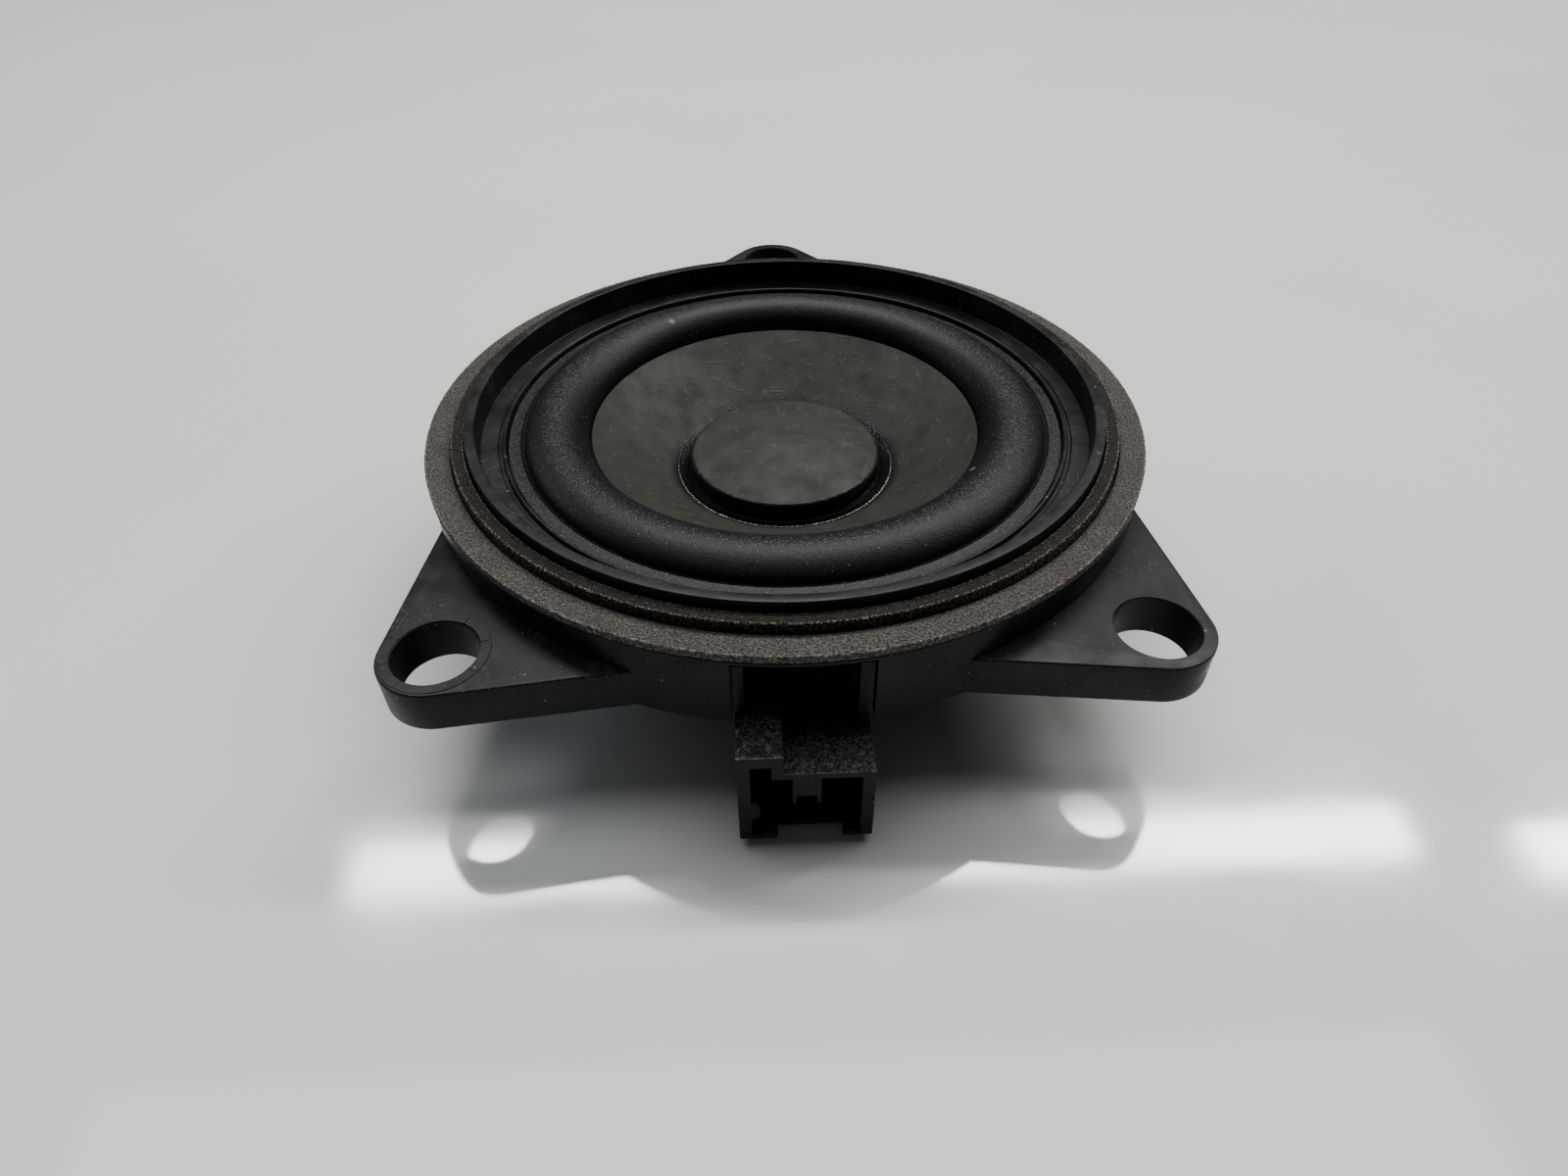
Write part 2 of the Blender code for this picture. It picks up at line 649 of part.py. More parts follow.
def make_lead(name, x, turn, material):
    """Braided lead that arches from a solder tag over the spider to a pad on the former."""
    end_r = former_r + 2 * GAP + COIL_PAD_T
    heading = math.radians(-90.0 + turn)
    start_z = skirt_z - TAG_DROP - LEAD_D / 2
    start = Vector((x, socket_back_y + 2 * GAP + PIN_T, start_z))
    end_z = coil_pad_z + COIL_PAD_H / 2
    end = Vector((end_r * math.cos(heading), end_r * math.sin(heading), end_z))
    points = []
    for i in range(LEAD_STEPS + 1):
        share = i / LEAD_STEPS
        point = start.lerp(end, share)
        point.z += LEAD_RISE * (1 - math.cos(math.tau * share)) / 2
        points.append((*point, 1.0))
    curve = bpy.data.curves.new(name, "CURVE")
    curve.dimensions = "3D"
    curve.bevel_depth = LEAD_D / 2
    curve.bevel_resolution = LEAD_FACETS
    curve.use_fill_caps = True
    spline = curve.splines.new("POLY")
    spline.points.add(LEAD_STEPS)
    for slot, point in zip(spline.points, points):
        slot.co = point
    curve.materials.append(material)
    obj = bpy.data.objects.new(name, curve)
    bpy.context.scene.collection.objects.link(obj)
    return obj


# --- assembly -----------------------------------------------------------------------------
def empty(name):
    """Parent on the cone's axis, which is the axis of its travel."""
    obj = bpy.data.objects.new(name, None)
    bpy.context.scene.collection.objects.link(obj)
    return obj


def main():
    for obj in list(bpy.data.objects):
        bpy.data.objects.remove(obj, do_unlink=True)

    frame = empty("speaker_frame")
    moving = empty("moving_assembly")
    moving.parent = frame

    plastic = paint("basket_plastic", (0.018, 0.019, 0.020), 0.45)
    fixed = [make_basket(plastic)]
    fixed += make_gaskets(paint("outer_foam", (0.085, 0.075, 0.068), 0.95),
                          paint("inner_foam", (0.042, 0.035, 0.030), 0.95))
    fixed.append(make_surround(paint("surround_rubber", (0.022, 0.020, 0.022), 0.5)))
    fixed.append(make_spider(paint("spider_cloth", (0.45, 0.30, 0.10), 0.9)))
    fixed += make_motor(paint("yoke_steel", (0.32, 0.33, 0.35), 0.35, 1.0),
                        paint("magnet_nickel", (0.62, 0.60, 0.56), 0.25, 1.0),
                        paint("plate_steel", (0.40, 0.40, 0.41), 0.4, 1.0))
    fixed.append(make_connector(paint("connector_plastic", (0.016, 0.017, 0.018), 0.5)))
    tin = paint("pin_tin", (0.70, 0.69, 0.66), 0.3, 1.0)
    braid = paint("lead_braid", (0.55, 0.42, 0.28), 0.5, 1.0)
    turns = (-COIL_PAD_ANGLE, COIL_PAD_ANGLE)
    for side, x, turn in zip(("left", "right"), PIN_X, turns):
        fixed.append(make_pin(f"terminal_pin_{side}", x, tin))
        fixed.append(make_lead(f"tinsel_lead_{side}", x, turn, braid))
    for piece in fixed:
        piece.parent = frame

    riding = [make_cone(paint("cone_paper", (0.045, 0.048, 0.042), 0.85)),
              make_dust_cap(paint("cap_cloth", (0.040, 0.043, 0.038), 0.8))]
    riding += make_coil(paint("former_kapton", (0.35, 0.16, 0.04), 0.4),
                        paint("winding_copper", (0.72, 0.33, 0.16), 0.35, 1.0))
    riding += make_coil_pads(paint("pad_copper", (0.70, 0.40, 0.22), 0.3, 1.0))
    for piece in riding:
        piece.parent = moving


if __name__ == "__main__":
    main()
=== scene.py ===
"""Shallow car door midrange loudspeaker: the fine surfaces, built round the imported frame.

Units are metres. +Z points out of the cone towards the listener and z = 0 is the motor's flat
back. The plug socket faces -Y. An outline is a list of (r, z) points for what is turned about
the Z axis, and of (x, y, z) points for what is extruded.
"""

import logging
import math
from collections.abc import Callable, Sequence
from dataclasses import dataclass
from enum import Enum

import bmesh
import bpy
from mathutils import Matrix, Vector


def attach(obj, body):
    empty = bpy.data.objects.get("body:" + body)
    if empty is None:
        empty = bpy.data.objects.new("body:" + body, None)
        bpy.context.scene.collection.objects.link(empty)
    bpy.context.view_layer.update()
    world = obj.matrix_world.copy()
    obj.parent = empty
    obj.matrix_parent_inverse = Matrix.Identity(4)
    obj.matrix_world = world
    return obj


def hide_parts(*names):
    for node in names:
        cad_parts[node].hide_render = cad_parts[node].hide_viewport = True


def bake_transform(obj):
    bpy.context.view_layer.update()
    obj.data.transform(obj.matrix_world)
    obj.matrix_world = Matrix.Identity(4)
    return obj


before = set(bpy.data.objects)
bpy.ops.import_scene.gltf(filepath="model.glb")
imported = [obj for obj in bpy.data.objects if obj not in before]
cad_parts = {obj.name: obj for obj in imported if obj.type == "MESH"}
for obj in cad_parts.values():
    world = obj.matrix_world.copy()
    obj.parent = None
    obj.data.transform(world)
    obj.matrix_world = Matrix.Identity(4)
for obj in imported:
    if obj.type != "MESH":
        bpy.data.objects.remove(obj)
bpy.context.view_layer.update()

LOG = logging.getLogger("loudspeaker")

Piece = bpy.types.Object
Material = bpy.types.Material
Wire = bpy.types.NodeSocket
Point = Sequence[float]
Pair = tuple[float, float]
Triple = tuple[float, float, float]

FIXED = "frame"
MOVING = "moving_assembly"
# Overlap of a cutter or clearance of a piece, where two faces would otherwise share a plane.
GAP = 0.0003
HAIR = GAP / 50
MERGE = 2e-6
SHARP = math.radians(32)


class Fuse(Enum):
    """How one solid is put together with another."""

    JOIN = "UNION"
    CUT = "DIFFERENCE"


# --- bench tools --------------------------------------------------------------------------
def pick_only(obj: Piece) -> None:
    """Select one object and make it the active one.

    Args:
        obj: The object to work on.
    """
    bpy.ops.object.select_all(action="DESELECT")
    obj.select_set(True)
    bpy.context.view_layer.objects.active = obj


def settle(obj: Piece, name: str) -> Piece:
    """Name a piece and put its place into its mesh.

    Args:
        obj: The piece.
        name: The name that it gets.

    Returns:
        The same piece, at the origin, unturned and unscaled.
    """
    pick_only(obj)
    bpy.ops.object.transform_apply(location=True, rotation=True, scale=True)
    obj.name = name
    obj.data.name = name
    return obj


def trace(points: Sequence[Point], closed: bool = True) -> Piece:
    """Draw a line of edges, by extruding one vertex from point to point.

    Args:
        points: The corners in order.
        closed: Whether the last corner is joined to the first.

    Returns:
        An object in edit mode with all of its line selected.
    """
    place = Vector(points[0])
    bpy.ops.object.select_all(action="DESELECT")
    bpy.ops.mesh.primitive_plane_add(size=GAP, location=place)
    obj = bpy.context.object
    bpy.ops.object.mode_set(mode="EDIT")
    bpy.ops.mesh.select_all(action="SELECT")
    bpy.ops.mesh.merge(type="CENTER")
    for point in points[1:]:
        step = Vector(point) - place
        bpy.ops.mesh.extrude_vertices_move(TRANSFORM_OT_translate={"value": step})
        place = Vector(point)
    if closed:
        mesh = bmesh.from_edit_mesh(obj.data)
        for vertex in mesh.verts:
            vertex.select_set(len(vertex.link_edges) < 2)
        mesh.select_flush(False)
        bmesh.update_edit_mesh(obj.data)
        bpy.ops.mesh.edge_face_add()
    bpy.ops.mesh.select_all(action="SELECT")
    return obj


def turn(name: str, outline: Sequence[Point], steps: int) -> Piece:
    """Spin a closed outline about the Z axis.

    Args:
        name: The piece's name.
        outline: Points (r, z) of the closed outline.
        steps: How many facets go round.

    Returns:
        The turned solid.
    """
    obj = trace([(r, 0.0, z) for r, z in outline])
    bpy.ops.mesh.spin(steps=steps, angle=math.tau, center=(0, 0, 0), axis=(0, 0, 1),
                      use_auto_merge=False)
    bpy.ops.mesh.select_all(action="SELECT")
    bpy.ops.mesh.remove_doubles(threshold=MERGE)
    bpy.ops.mesh.dissolve_degenerate(threshold=MERGE)
    bpy.ops.mesh.normals_make_consistent(inside=False)
    bpy.ops.object.mode_set(mode="OBJECT")
    return settle(obj, name)


def extrude(name: str, outline: Sequence[Point], lift: Point) -> Piece:
    """Fill a closed outline and push it out into a solid.

    Args:
        name: The piece's name.
        outline: Corners (x, y, z) of a flat outline.
        lift: How far and which way it is pushed.

    Returns:
        The extruded solid.
    """
    obj = trace(outline)
    bpy.ops.mesh.edge_face_add()
    bpy.ops.mesh.extrude_region_move(TRANSFORM_OT_translate={"value": lift})
    bpy.ops.mesh.select_all(action="SELECT")
    bpy.ops.mesh.normals_make_consistent(inside=False)
    bpy.ops.object.mode_set(mode="OBJECT")
    return settle(obj, name)


def block(name: str, low: Point, high: Point) -> Piece:
    """Make a rectangular solid between two corners.

    Args:
        name: The piece's name.
        low: Lowest corner.
        high: Highest corner.

    Returns:
        The solid.
    """
    a, b = Vector(low), Vector(high)
    bpy.ops.object.select_all(action="DESELECT")
    bpy.ops.mesh.primitive_cube_add(size=1.0, location=(a + b) / 2, scale=b - a)
    return settle(bpy.context.object, name)


def soften(obj: Piece, width: float, segments: int = 2, sharp: float = SHARP) -> Piece:
    """Round every sharp edge of a piece.

    Args:
        obj: The piece.
        width: How far the rounding reaches from the edge.
        segments: Facets in the rounding.
        sharp: Edges that turn more than this are rounded.

    Returns:
        The same piece.
    """
    pick_only(obj)
    bevel = obj.modifiers.new("rounding", "BEVEL")
    bevel.width = width
    bevel.segments = segments
    bevel.limit_method = "ANGLE"
    bevel.angle_limit = sharp
    bevel.use_clamp_overlap = True
    bpy.ops.object.modifier_apply(modifier=bevel.name)
    return obj


def fuse(obj: Piece, tool: Piece, how: Fuse) -> Piece:
    """Unite a piece with a tool solid, or cut the tool from it, and use the tool up.

    Args:
        obj: The piece.
        tool: The solid that is added or taken away.
        how: Join or cut.

    Returns:
        The same piece.
    """
    pick_only(obj)
    modifier = obj.modifiers.new(tool.name, "BOOLEAN")
    modifier.operation = how.value
    modifier.solver = "MANIFOLD"
    modifier.object = tool
    bpy.ops.object.modifier_apply(modifier=modifier.name)
    bpy.data.objects.remove(tool, do_unlink=True)
    return obj


def swing(obj: Piece, degrees: float) -> Piece:
    """Turn a piece about the Z axis.

    Args:
        obj: The piece.
        degrees: How far, anticlockwise from above.

    Returns:
        The same piece.
    """
    obj.matrix_world = Matrix.Rotation(math.radians(degrees), 4, "Z") @ obj.matrix_world
    return settle(obj, obj.name)


def copy_round(obj: Piece, degrees: float) -> Piece:
    """Copy a piece, with its own mesh, and turn the copy about the Z axis.

    Args:
        obj: The piece to copy.
        degrees: How far the copy is turned.

    Returns:
        The copy.
    """
    twin = obj.copy()
    twin.data = obj.data.copy()
    bpy.context.scene.collection.objects.link(twin)
    return swing(twin, degrees)


def roughen(obj: Piece, depth: float, grain: float) -> Piece:
    """Push a surface in and out by a cloudy pattern.

    Args:
        obj: The piece.
        depth: Distance between the lowest and the highest points.
        grain: Size of the pattern's lumps.

    Returns:
        The same piece.
    """
    pick_only(obj)
    pattern = bpy.data.textures.new(f"{obj.name}_grain", "CLOUDS")
    pattern.noise_scale = grain
    pattern.noise_depth = 2
    push = obj.modifiers.new("roughness", "DISPLACE")
    push.texture = pattern
    push.texture_coords = "LOCAL"
    push.strength = depth
    push.mid_level = 0.5
    bpy.ops.object.modifier_apply(modifier=push.name)
    return obj


def dress(obj: Piece, material: Material, slot: str, body: str | None,
          stands_for: Sequence[str] = ()) -> Piece:
    """Give a piece its material, its shading and its place on a body.

    Args:
        obj: The finished mesh.
        material: What it is made of.
        slot: The record's material slot.
        body: The body that it rides on, or None to leave it on no body.
        stands_for: CAD nodes that it is shown in place of.

    Returns:
        The same piece.
    """
    obj.data.materials.clear()
    obj.data.materials.append(material)
    pick_only(obj)
    bpy.ops.object.shade_smooth_by_angle(angle=SHARP)
    if stands_for:
        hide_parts(*stands_for)
    if body:
        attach(obj, body)
    LOG.info("%s: %d faces, %s", obj.name, len(obj.data.polygons), slot)
    return obj


def stretch_between(obj: Piece, share: Callable[[Vector], float]) -> None:
    """Put a flexible piece's place into its mesh and work out how much of the cone's travel each of its
    points would follow; the shares are not applied, so the piece does not bend.

    Args:
        obj: The piece.
        share: How much of the cone's travel a point of the mesh follows, from 0 to 1.
    """
    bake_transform(obj)
    shares = [share(vertex.co) for vertex in obj.data.vertices]


def ease(value: float, low: float, high: float) -> float:
    """Rise smoothly from 0 at low to 1 at high."""
    share = min(max((value - low) / (high - low), 0.0), 1.0)
    return share * share * (3 - 2 * share)


def strip(middle: Sequence[Point], thickness: float) -> list[Vector]:
    """Outline a strip of even thickness round a middle line.

    Args:
        middle: Points (r, z) of the middle line.
        thickness: Thickness of the strip.

    Returns:
        The closed outline.
    """
    points = [Vector(point) for point in middle]
    upper, lower = [], []
    for i, point in enumerate(points):
        along = (points[min(i + 1, len(points) - 1)] - points[max(i - 1, 0)]).normalized()
        normal = Vector((-along.y, along.x)) * thickness / 2
        upper.append(point + normal)
        lower.append(point - normal)
    return lower + upper[::-1]


def arc(centre: Point, radius: float, start: float, end: float, steps: int) -> list[Vector]:
    """Points along a circular arc.

    Args:
        centre: Its centre.
        radius: Its radius.
        start: First angle in degrees.
        end: Last angle in degrees.
        steps: Number of chords.

    Returns:
        The points from the first angle to the last.
    """
    angles = [math.radians(start + (end - start) * i / steps) for i in range(steps + 1)]
    return [Vector((centre[0] + radius * math.cos(a), centre[1] + radius * math.sin(a))) for a in angles]


def thread(name: str, points: Sequence[Point], radius: float, roundness: int) -> Piece:
    """Draw a round strand along a line of points.

    Args:
        name: The piece's name.
        points: The line.
        radius: The strand's radius.
        roundness: How finely it is rounded.

    Returns:
        The strand as a closed mesh.
    """
    obj = trace(points, closed=False)
    bpy.ops.object.mode_set(mode="OBJECT")
    bpy.ops.object.convert(target="CURVE")
    obj = bpy.context.object
    obj.data.bevel_depth = radius
    obj.data.bevel_resolution = roundness
    obj.data.use_fill_caps = True
    bpy.ops.object.convert(target="MESH")
    return settle(bpy.context.object, name)


def gather(pieces: Sequence[Piece], name: str) -> Piece:
    """Join several small pieces into one mesh.

    Args:
        pieces: The pieces.
        name: The name of the joined piece.

    Returns:
        The joined piece.
    """
    pick_only(pieces[0])
    for piece in pieces[1:]:
        piece.select_set(True)
    bpy.ops.object.join()
    return settle(bpy.context.object, name)


# --- finishes -----------------------------------------------------------------------------
class Recipe:
    """Writes the node tree of one material."""

    def __init__(self, name: str, colour: Point, roughness: float, metallic: float = 0.0) -> None:
        """Start a material from a plain shader.

        Args:
            name: The material's name.
            colour: Base colour.
            roughness: Roughness of the surface.
            metallic: 1 for bare metal.
        """
        self.material = bpy.data.materials.new(name)
        self.material.use_nodes = True
        self.tree = self.material.node_tree
        self.shader = self.tree.nodes["Principled BSDF"]
        self.shader.inputs["Base Color"].default_value = (*colour, 1.0)
        self.shader.inputs["Roughness"].default_value = roughness
        self.shader.inputs["Metallic"].default_value = metallic
        self.place = self.tree.nodes.new("ShaderNodeTexCoord").outputs["Object"]

    def node(self, kind: str, **settings: object) -> bpy.types.Node:
        """Add a node and set its properties.

        Args:
            kind: The node's type.
            settings: Property values by name.

        Returns:
            The node.
        """
        node = self.tree.nodes.new(kind)
        for name, value in settings.items():
            setattr(node, name, value)
        return node

    def put(self, socket: Wire, value: object) -> None:
        """Link a socket's value, or set it where it is a plain number or vector.

        Args:
            socket: The input socket.
            value: What it gets.
        """
        if isinstance(value, Wire):
            self.tree.links.new(value, socket)
        else:
            socket.default_value = value

    def feed(self, node: bpy.types.Node, **values: object) -> bpy.types.Node:
        """Set or link the inputs of a node.

        Args:
            node: The node.
            values: A socket or a value for each input, by its name with _ for a space.

        Returns:
            The same node.
        """
        for name, value in values.items():
            self.put(node.inputs[name.replace("_", " ")], value)
        return node

    def noise(self, size: float, detail: float = 3.0,
              stretch: Point = (1, 1, 1)) -> Wire:
        """Cloudy pattern with lumps of a size.

        Args:
            size: Size of the lumps.
            detail: Octaves of finer lumps.
            stretch: How much finer it is along each axis.

        Returns:
            A value round 0.5.
        """
        mapping = self.feed(self.node("ShaderNodeMapping"), Vector=self.place, Scale=stretch)
        noise = self.node("ShaderNodeTexNoise")
        self.feed(noise, Vector=mapping.outputs[0], Scale=1 / size, Detail=detail)
        return noise.outputs["Fac"]

    def cells(self, size: float, feature: str = "F1") -> bpy.types.Node:
        """Cellular pattern with cells of a size.

        Args:
            size: Size of the cells.
            feature: Which distance it measures.

        Returns:
            The Voronoi node.
        """
        cells = self.node("ShaderNodeTexVoronoi", feature=feature)
        return self.feed(cells, Vector=self.place, Scale=1 / size)

    def ramp(self, value: Wire, low: float, high: float,
             to: Point = (0.0, 1.0)) -> Wire:
        """Spread a range of values over another, clamped.

        Args:
            value: What goes in.
            low: The value that becomes the first of to.
            high: The value that becomes the second of to.
            to: The two values that come out.

        Returns:
            The spread value.
        """
        spread = self.node("ShaderNodeMapRange")
        self.feed(spread, Value=value, From_Min=low, From_Max=high, To_Min=to[0], To_Max=to[1])
        return spread.outputs["Result"]

    def work(self, operation: str, a: object, b: object = 0.0) -> Wire:
        """One sum on two values.

        Args:
            operation: Name of the sum.
            a: First value or socket.
            b: Second value or socket.

        Returns:
            The result.
        """
        sum_node = self.node("ShaderNodeMath", operation=operation)
        for socket, value in zip(sum_node.inputs, (a, b)):
            self.put(socket, value)
        return sum_node.outputs[0]

    def times(self, a: object, b: object) -> Wire:
        """Multiply two values or sockets."""
        return self.work("MULTIPLY", a, b)

    def gloss(self, level: float) -> None:
        """Set how strongly the surface mirrors light."""
        self.shader.inputs["Specular IOR Level"].default_value = level

    def blend(self, share: Wire, a: object, b: object) -> Wire:
        """Mix two colours.

        Args:
            share: 0 for the first, 1 for the second.
            a: Colour or socket.
            b: Colour or socket.

        Returns:
            The mixed colour.
        """
        mix = self.node("ShaderNodeMix", data_type="RGBA")
        self.tree.links.new(share, mix.inputs["Factor"])
        for socket, value in ((mix.inputs[6], a), (mix.inputs[7], b)):
            self.put(socket, value if isinstance(value, Wire) else (*value, 1.0))
        return mix.outputs[2]

    def split(self, vector: Wire) -> bpy.types.Node:
        """Take a vector apart into X, Y and Z."""
        return self.feed(self.node("ShaderNodeSeparateXYZ"), Vector=vector)

    def upward(self, low: float = 0.2, high: float = 0.95) -> Wire:
        """How much a surface faces up, from 0 to 1."""
        normal = self.split(self.node("ShaderNodeNewGeometry").outputs["Normal"])
        return self.ramp(normal.outputs["Z"], low, high)

    def radius(self) -> Wire:
        """Distance from the cone's axis."""
        flat = self.feed(self.node("ShaderNodeMapping"), Vector=self.place, Scale=(1, 1, 0))
        length = self.node("ShaderNodeVectorMath", operation="LENGTH")
        self.tree.links.new(flat.outputs[0], length.inputs[0])
        return length.outputs["Value"]

    def specks(self, size: float, spread: float, share: float) -> Wire:
        """Scattered small dots.

        Args:
            size: Radius of the largest dot.
            spread: Distance between neighbours.
            share: How many of the places hold a dot.

        Returns:
            1 on a dot and 0 elsewhere.
        """
        cells = self.cells(spread)
        dot = self.ramp(cells.outputs["Distance"], size / spread, 0.5 * size / spread)
        chance = self.split(cells.outputs["Color"]).outputs["X"]
        return self.times(dot, self.work("LESS_THAN", chance, share))

    def streaks(self, length: float, width: float, rarity: float) -> Wire:
        """Fine short lines that lie in several directions.

        Args:
            length: Length of a line.
            width: Its width.
            rarity: From 0.5, many, to 0.8, hardly any.

        Returns:
            1 on a line and 0 elsewhere.
        """
        lines = None
        for turned in (0.35, 1.3, 2.45):
            mapping = self.node("ShaderNodeMapping", vector_type="TEXTURE")
            self.feed(mapping, Vector=self.place, Rotation=(0, 0, turned), Scale=(length / width, 1, 1))
            noise = self.feed(self.node("ShaderNodeTexNoise"), Vector=mapping.outputs[0],
                              Scale=0.5 / width, Detail=1.0)
            line = self.ramp(noise.outputs["Fac"], rarity, rarity + 0.03)
            lines = self.work("MAXIMUM", lines, line) if lines else line
        return lines

    def colour(self, socket: Wire) -> None:
        """Use a socket as the base colour."""
        self.tree.links.new(socket, self.shader.inputs["Base Color"])

    def rough(self, socket: Wire) -> None:
        """Use a socket as the roughness."""
        self.tree.links.new(socket, self.shader.inputs["Roughness"])

    def relief(self, *heights: tuple[Wire, float]) -> None:
        """Stack bumps on the surface.

        Args:
            heights: Each pattern with its height.
        """
        normal = None
        for height, depth in heights:
            bump = self.node("ShaderNodeBump")
            self.feed(bump, Height=height, Distance=depth, Strength=1.0)
            if normal is not None:
                self.feed(bump, Normal=normal)
            normal = bump.outputs["Normal"]
        self.tree.links.new(normal, self.shader.inputs["Normal"])


@dataclass(frozen=True)
class MouldedPlastic:
    """Satin black moulding with dust on what faces up, rubbed patches and fine scratches."""

    colour: Triple = (0.0052, 0.0053, 0.0058)
    dust: Triple = (0.16, 0.15, 0.14)
    dust_amount: float = 0.05
    roughness: float = 0.38
    grain: float = 0.000006

    def build(self, name: str) -> Material:
        """Make the material.

        Args:
            name: The material's name.

        Returns:
            The material.
        """
        mix = Recipe(name, self.colour, self.roughness)
        mix.gloss(0.14)
        patches = mix.noise(0.006, 5)
        wear_and_edge_highlight = mix.ramp(patches, 0.44, 0.66)
        haze = mix.times(mix.upward(), mix.ramp(mix.noise(0.0016, 6), 0.45, 0.8))
        scratch = mix.times(mix.streaks(0.0016, 0.00013, 0.64), wear_and_edge_highlight)
        dots = mix.times(mix.specks(0.00016, 0.0006, 0.4), wear_and_edge_highlight)
        lint = mix.times(mix.specks(0.00022, 0.0024, 0.6), 0.8)
        shade = mix.blend(patches, self.colour, [c * 1.7 for c in self.colour])
        shade = mix.blend(mix.times(haze, self.dust_amount), shade, self.dust)
        shade = mix.blend(mix.times(scratch, 0.18), shade, self.dust)
        shade = mix.blend(mix.times(dots, 0.4), shade, self.dust)
        mix.colour(mix.blend(lint, shade, self.dust))
        rubbed = mix.ramp(patches, 0.35, 0.65, (self.roughness - 0.07, self.roughness + 0.14))
        mix.rough(mix.work("ADD", rubbed, mix.times(scratch, 0.2)))
        mix.relief((mix.noise(0.00016, 2), self.grain), (mix.noise(0.0035, 2), 0.00002),
                   (scratch, 0.00001))
        return mix.material


@dataclass(frozen=True)
class SparkTexture:
    """Black moulding whose upward faces have the coarse grain of a spark-eroded mould, painted darker as
    painted shade and flecked with painted glints, with a painted highlight along the mouth's top edge.
    """

    colour: Triple = (0.0056, 0.0057, 0.0061)
    glint_and_scratch: Triple = (0.14, 0.135, 0.13)
    mouth_y: float = -0.058
    roughness: float = 0.5

    def build(self, name: str) -> Material:
        """Make the material.

        Args:
            name: The material's name.

        Returns:
            The material.
        """
        mix = Recipe(name, self.colour, self.roughness)
        mix.gloss(0.16)
        up = mix.upward(0.7, 0.95)
        lumps = mix.noise(0.00036, 3)
        # Painted glints: light flecks, on upward faces only, stand for light caught by the spark-eroded
        # grain.
        glint_streaks = mix.streaks(0.00034, 0.00009, 0.59)
        broken_glints = mix.times(glint_streaks, mix.ramp(mix.noise(0.0016, 3), 0.3, 0.5, (0.25, 1.0)))
        crest = mix.times(broken_glints, up)
        scratch = mix.times(mix.streaks(0.0012, 0.00006, 0.68), 0.12)
        patches = mix.noise(0.004, 4)
        shade = mix.blend(patches, self.colour, [c * 1.4 for c in self.colour])
        # Painted shade: upward faces are made darker, for the shade that the drum casts over the socket's
        # top.
        shade = mix.blend(up, shade, [c * 0.5 for c in self.colour])
        shade = mix.blend(scratch, shade, self.glint_and_scratch)
        # The painted glints are laid on here.
        shade = mix.blend(mix.times(crest, 0.6), shade, self.glint_and_scratch)
        # Painted highlight along the top front edge of the mouth, for the light that this crisp edge
        # catches.
        to_mouth = mix.work("SUBTRACT", mix.split(mix.place).outputs["Y"], self.mouth_y)
        rim = mix.times(mix.ramp(to_mouth, 0.00022, 0.00012), mix.upward(0.2, 0.5))
        wear_and_edge_highlight = mix.times(rim, mix.ramp(mix.noise(0.0008, 4), 0.38, 0.5, (0.25, 0.7)))
        shade = mix.blend(wear_and_edge_highlight, shade, self.glint_and_scratch)
        dots = mix.times(mix.specks(0.00012, 0.0012, 0.5), 0.6)
        mix.colour(mix.blend(dots, shade, (0.2, 0.19, 0.18)))
        mix.rough(mix.ramp(crest, 0.0, 1.0, (self.roughness, 0.3)))
        mix.relief((mix.times(lumps, up), 0.00022), (crest, 0.00005),
                   (mix.noise(0.00012, 2), 0.000006))
        return mix.material


@dataclass(frozen=True)
class Foam:
    """Foam tape with open pores darkened as painted shade, light specks that are partly crumbs and partly
    painted sparkle, and torn cut edges.
    """

    dark: Triple
    light: Triple
    pore: float
    depth: float
    edges: tuple[float, ...]
    crumb: Triple = (0.32, 0.28, 0.25)

    def build(self, name: str) -> Material:
        """Make the material.

        Args:
            name: The material's name.

        Returns:
            The material.
        """
        mix = Recipe(name, self.dark, 0.92)
        mix.gloss(0.25)
        cells = mix.cells(self.pore).outputs["Distance"]
        fine = mix.noise(self.pore, 4)
        wide = mix.noise(0.004, 4)
        shade = mix.blend(mix.ramp(fine, 0.38, 0.62), self.dark, self.light)
        shade = mix.blend(mix.times(mix.ramp(wide, 0.4, 0.7), 0.35), shade, self.dark)
        # Painted shade: dark specks stand for the shade inside the open pores.
        pore_shade = mix.times(mix.specks(self.pore * 0.42, self.pore * 1.4, 0.4), 0.75)
        shade = mix.blend(pore_shade, shade, [c * 0.3 for c in self.dark])
        # Light specks: partly crumbs of foam, partly painted sparkle for the glints that the lamps strike
        # off the grain.
        crumbs_and_sparkle = mix.times(mix.specks(self.pore * 0.3, self.pore * 1.5, 0.55), 0.55)
        shade = mix.blend(crumbs_and_sparkle, shade, self.crumb)
        torn = mix.ramp(mix.noise(self.pore * 1.3, 4), 0.48, 0.62, (0.0, 0.55))
        for edge in self.edges:
            off = mix.work("ABSOLUTE", mix.work("SUBTRACT", mix.radius(), edge))
            shade = mix.blend(mix.times(mix.ramp(off, 0.00022, 0.00008), torn), shade, self.crumb)
        mix.colour(shade)
        mix.relief((cells, self.depth), (fine, 2 * self.depth))
        return mix.material


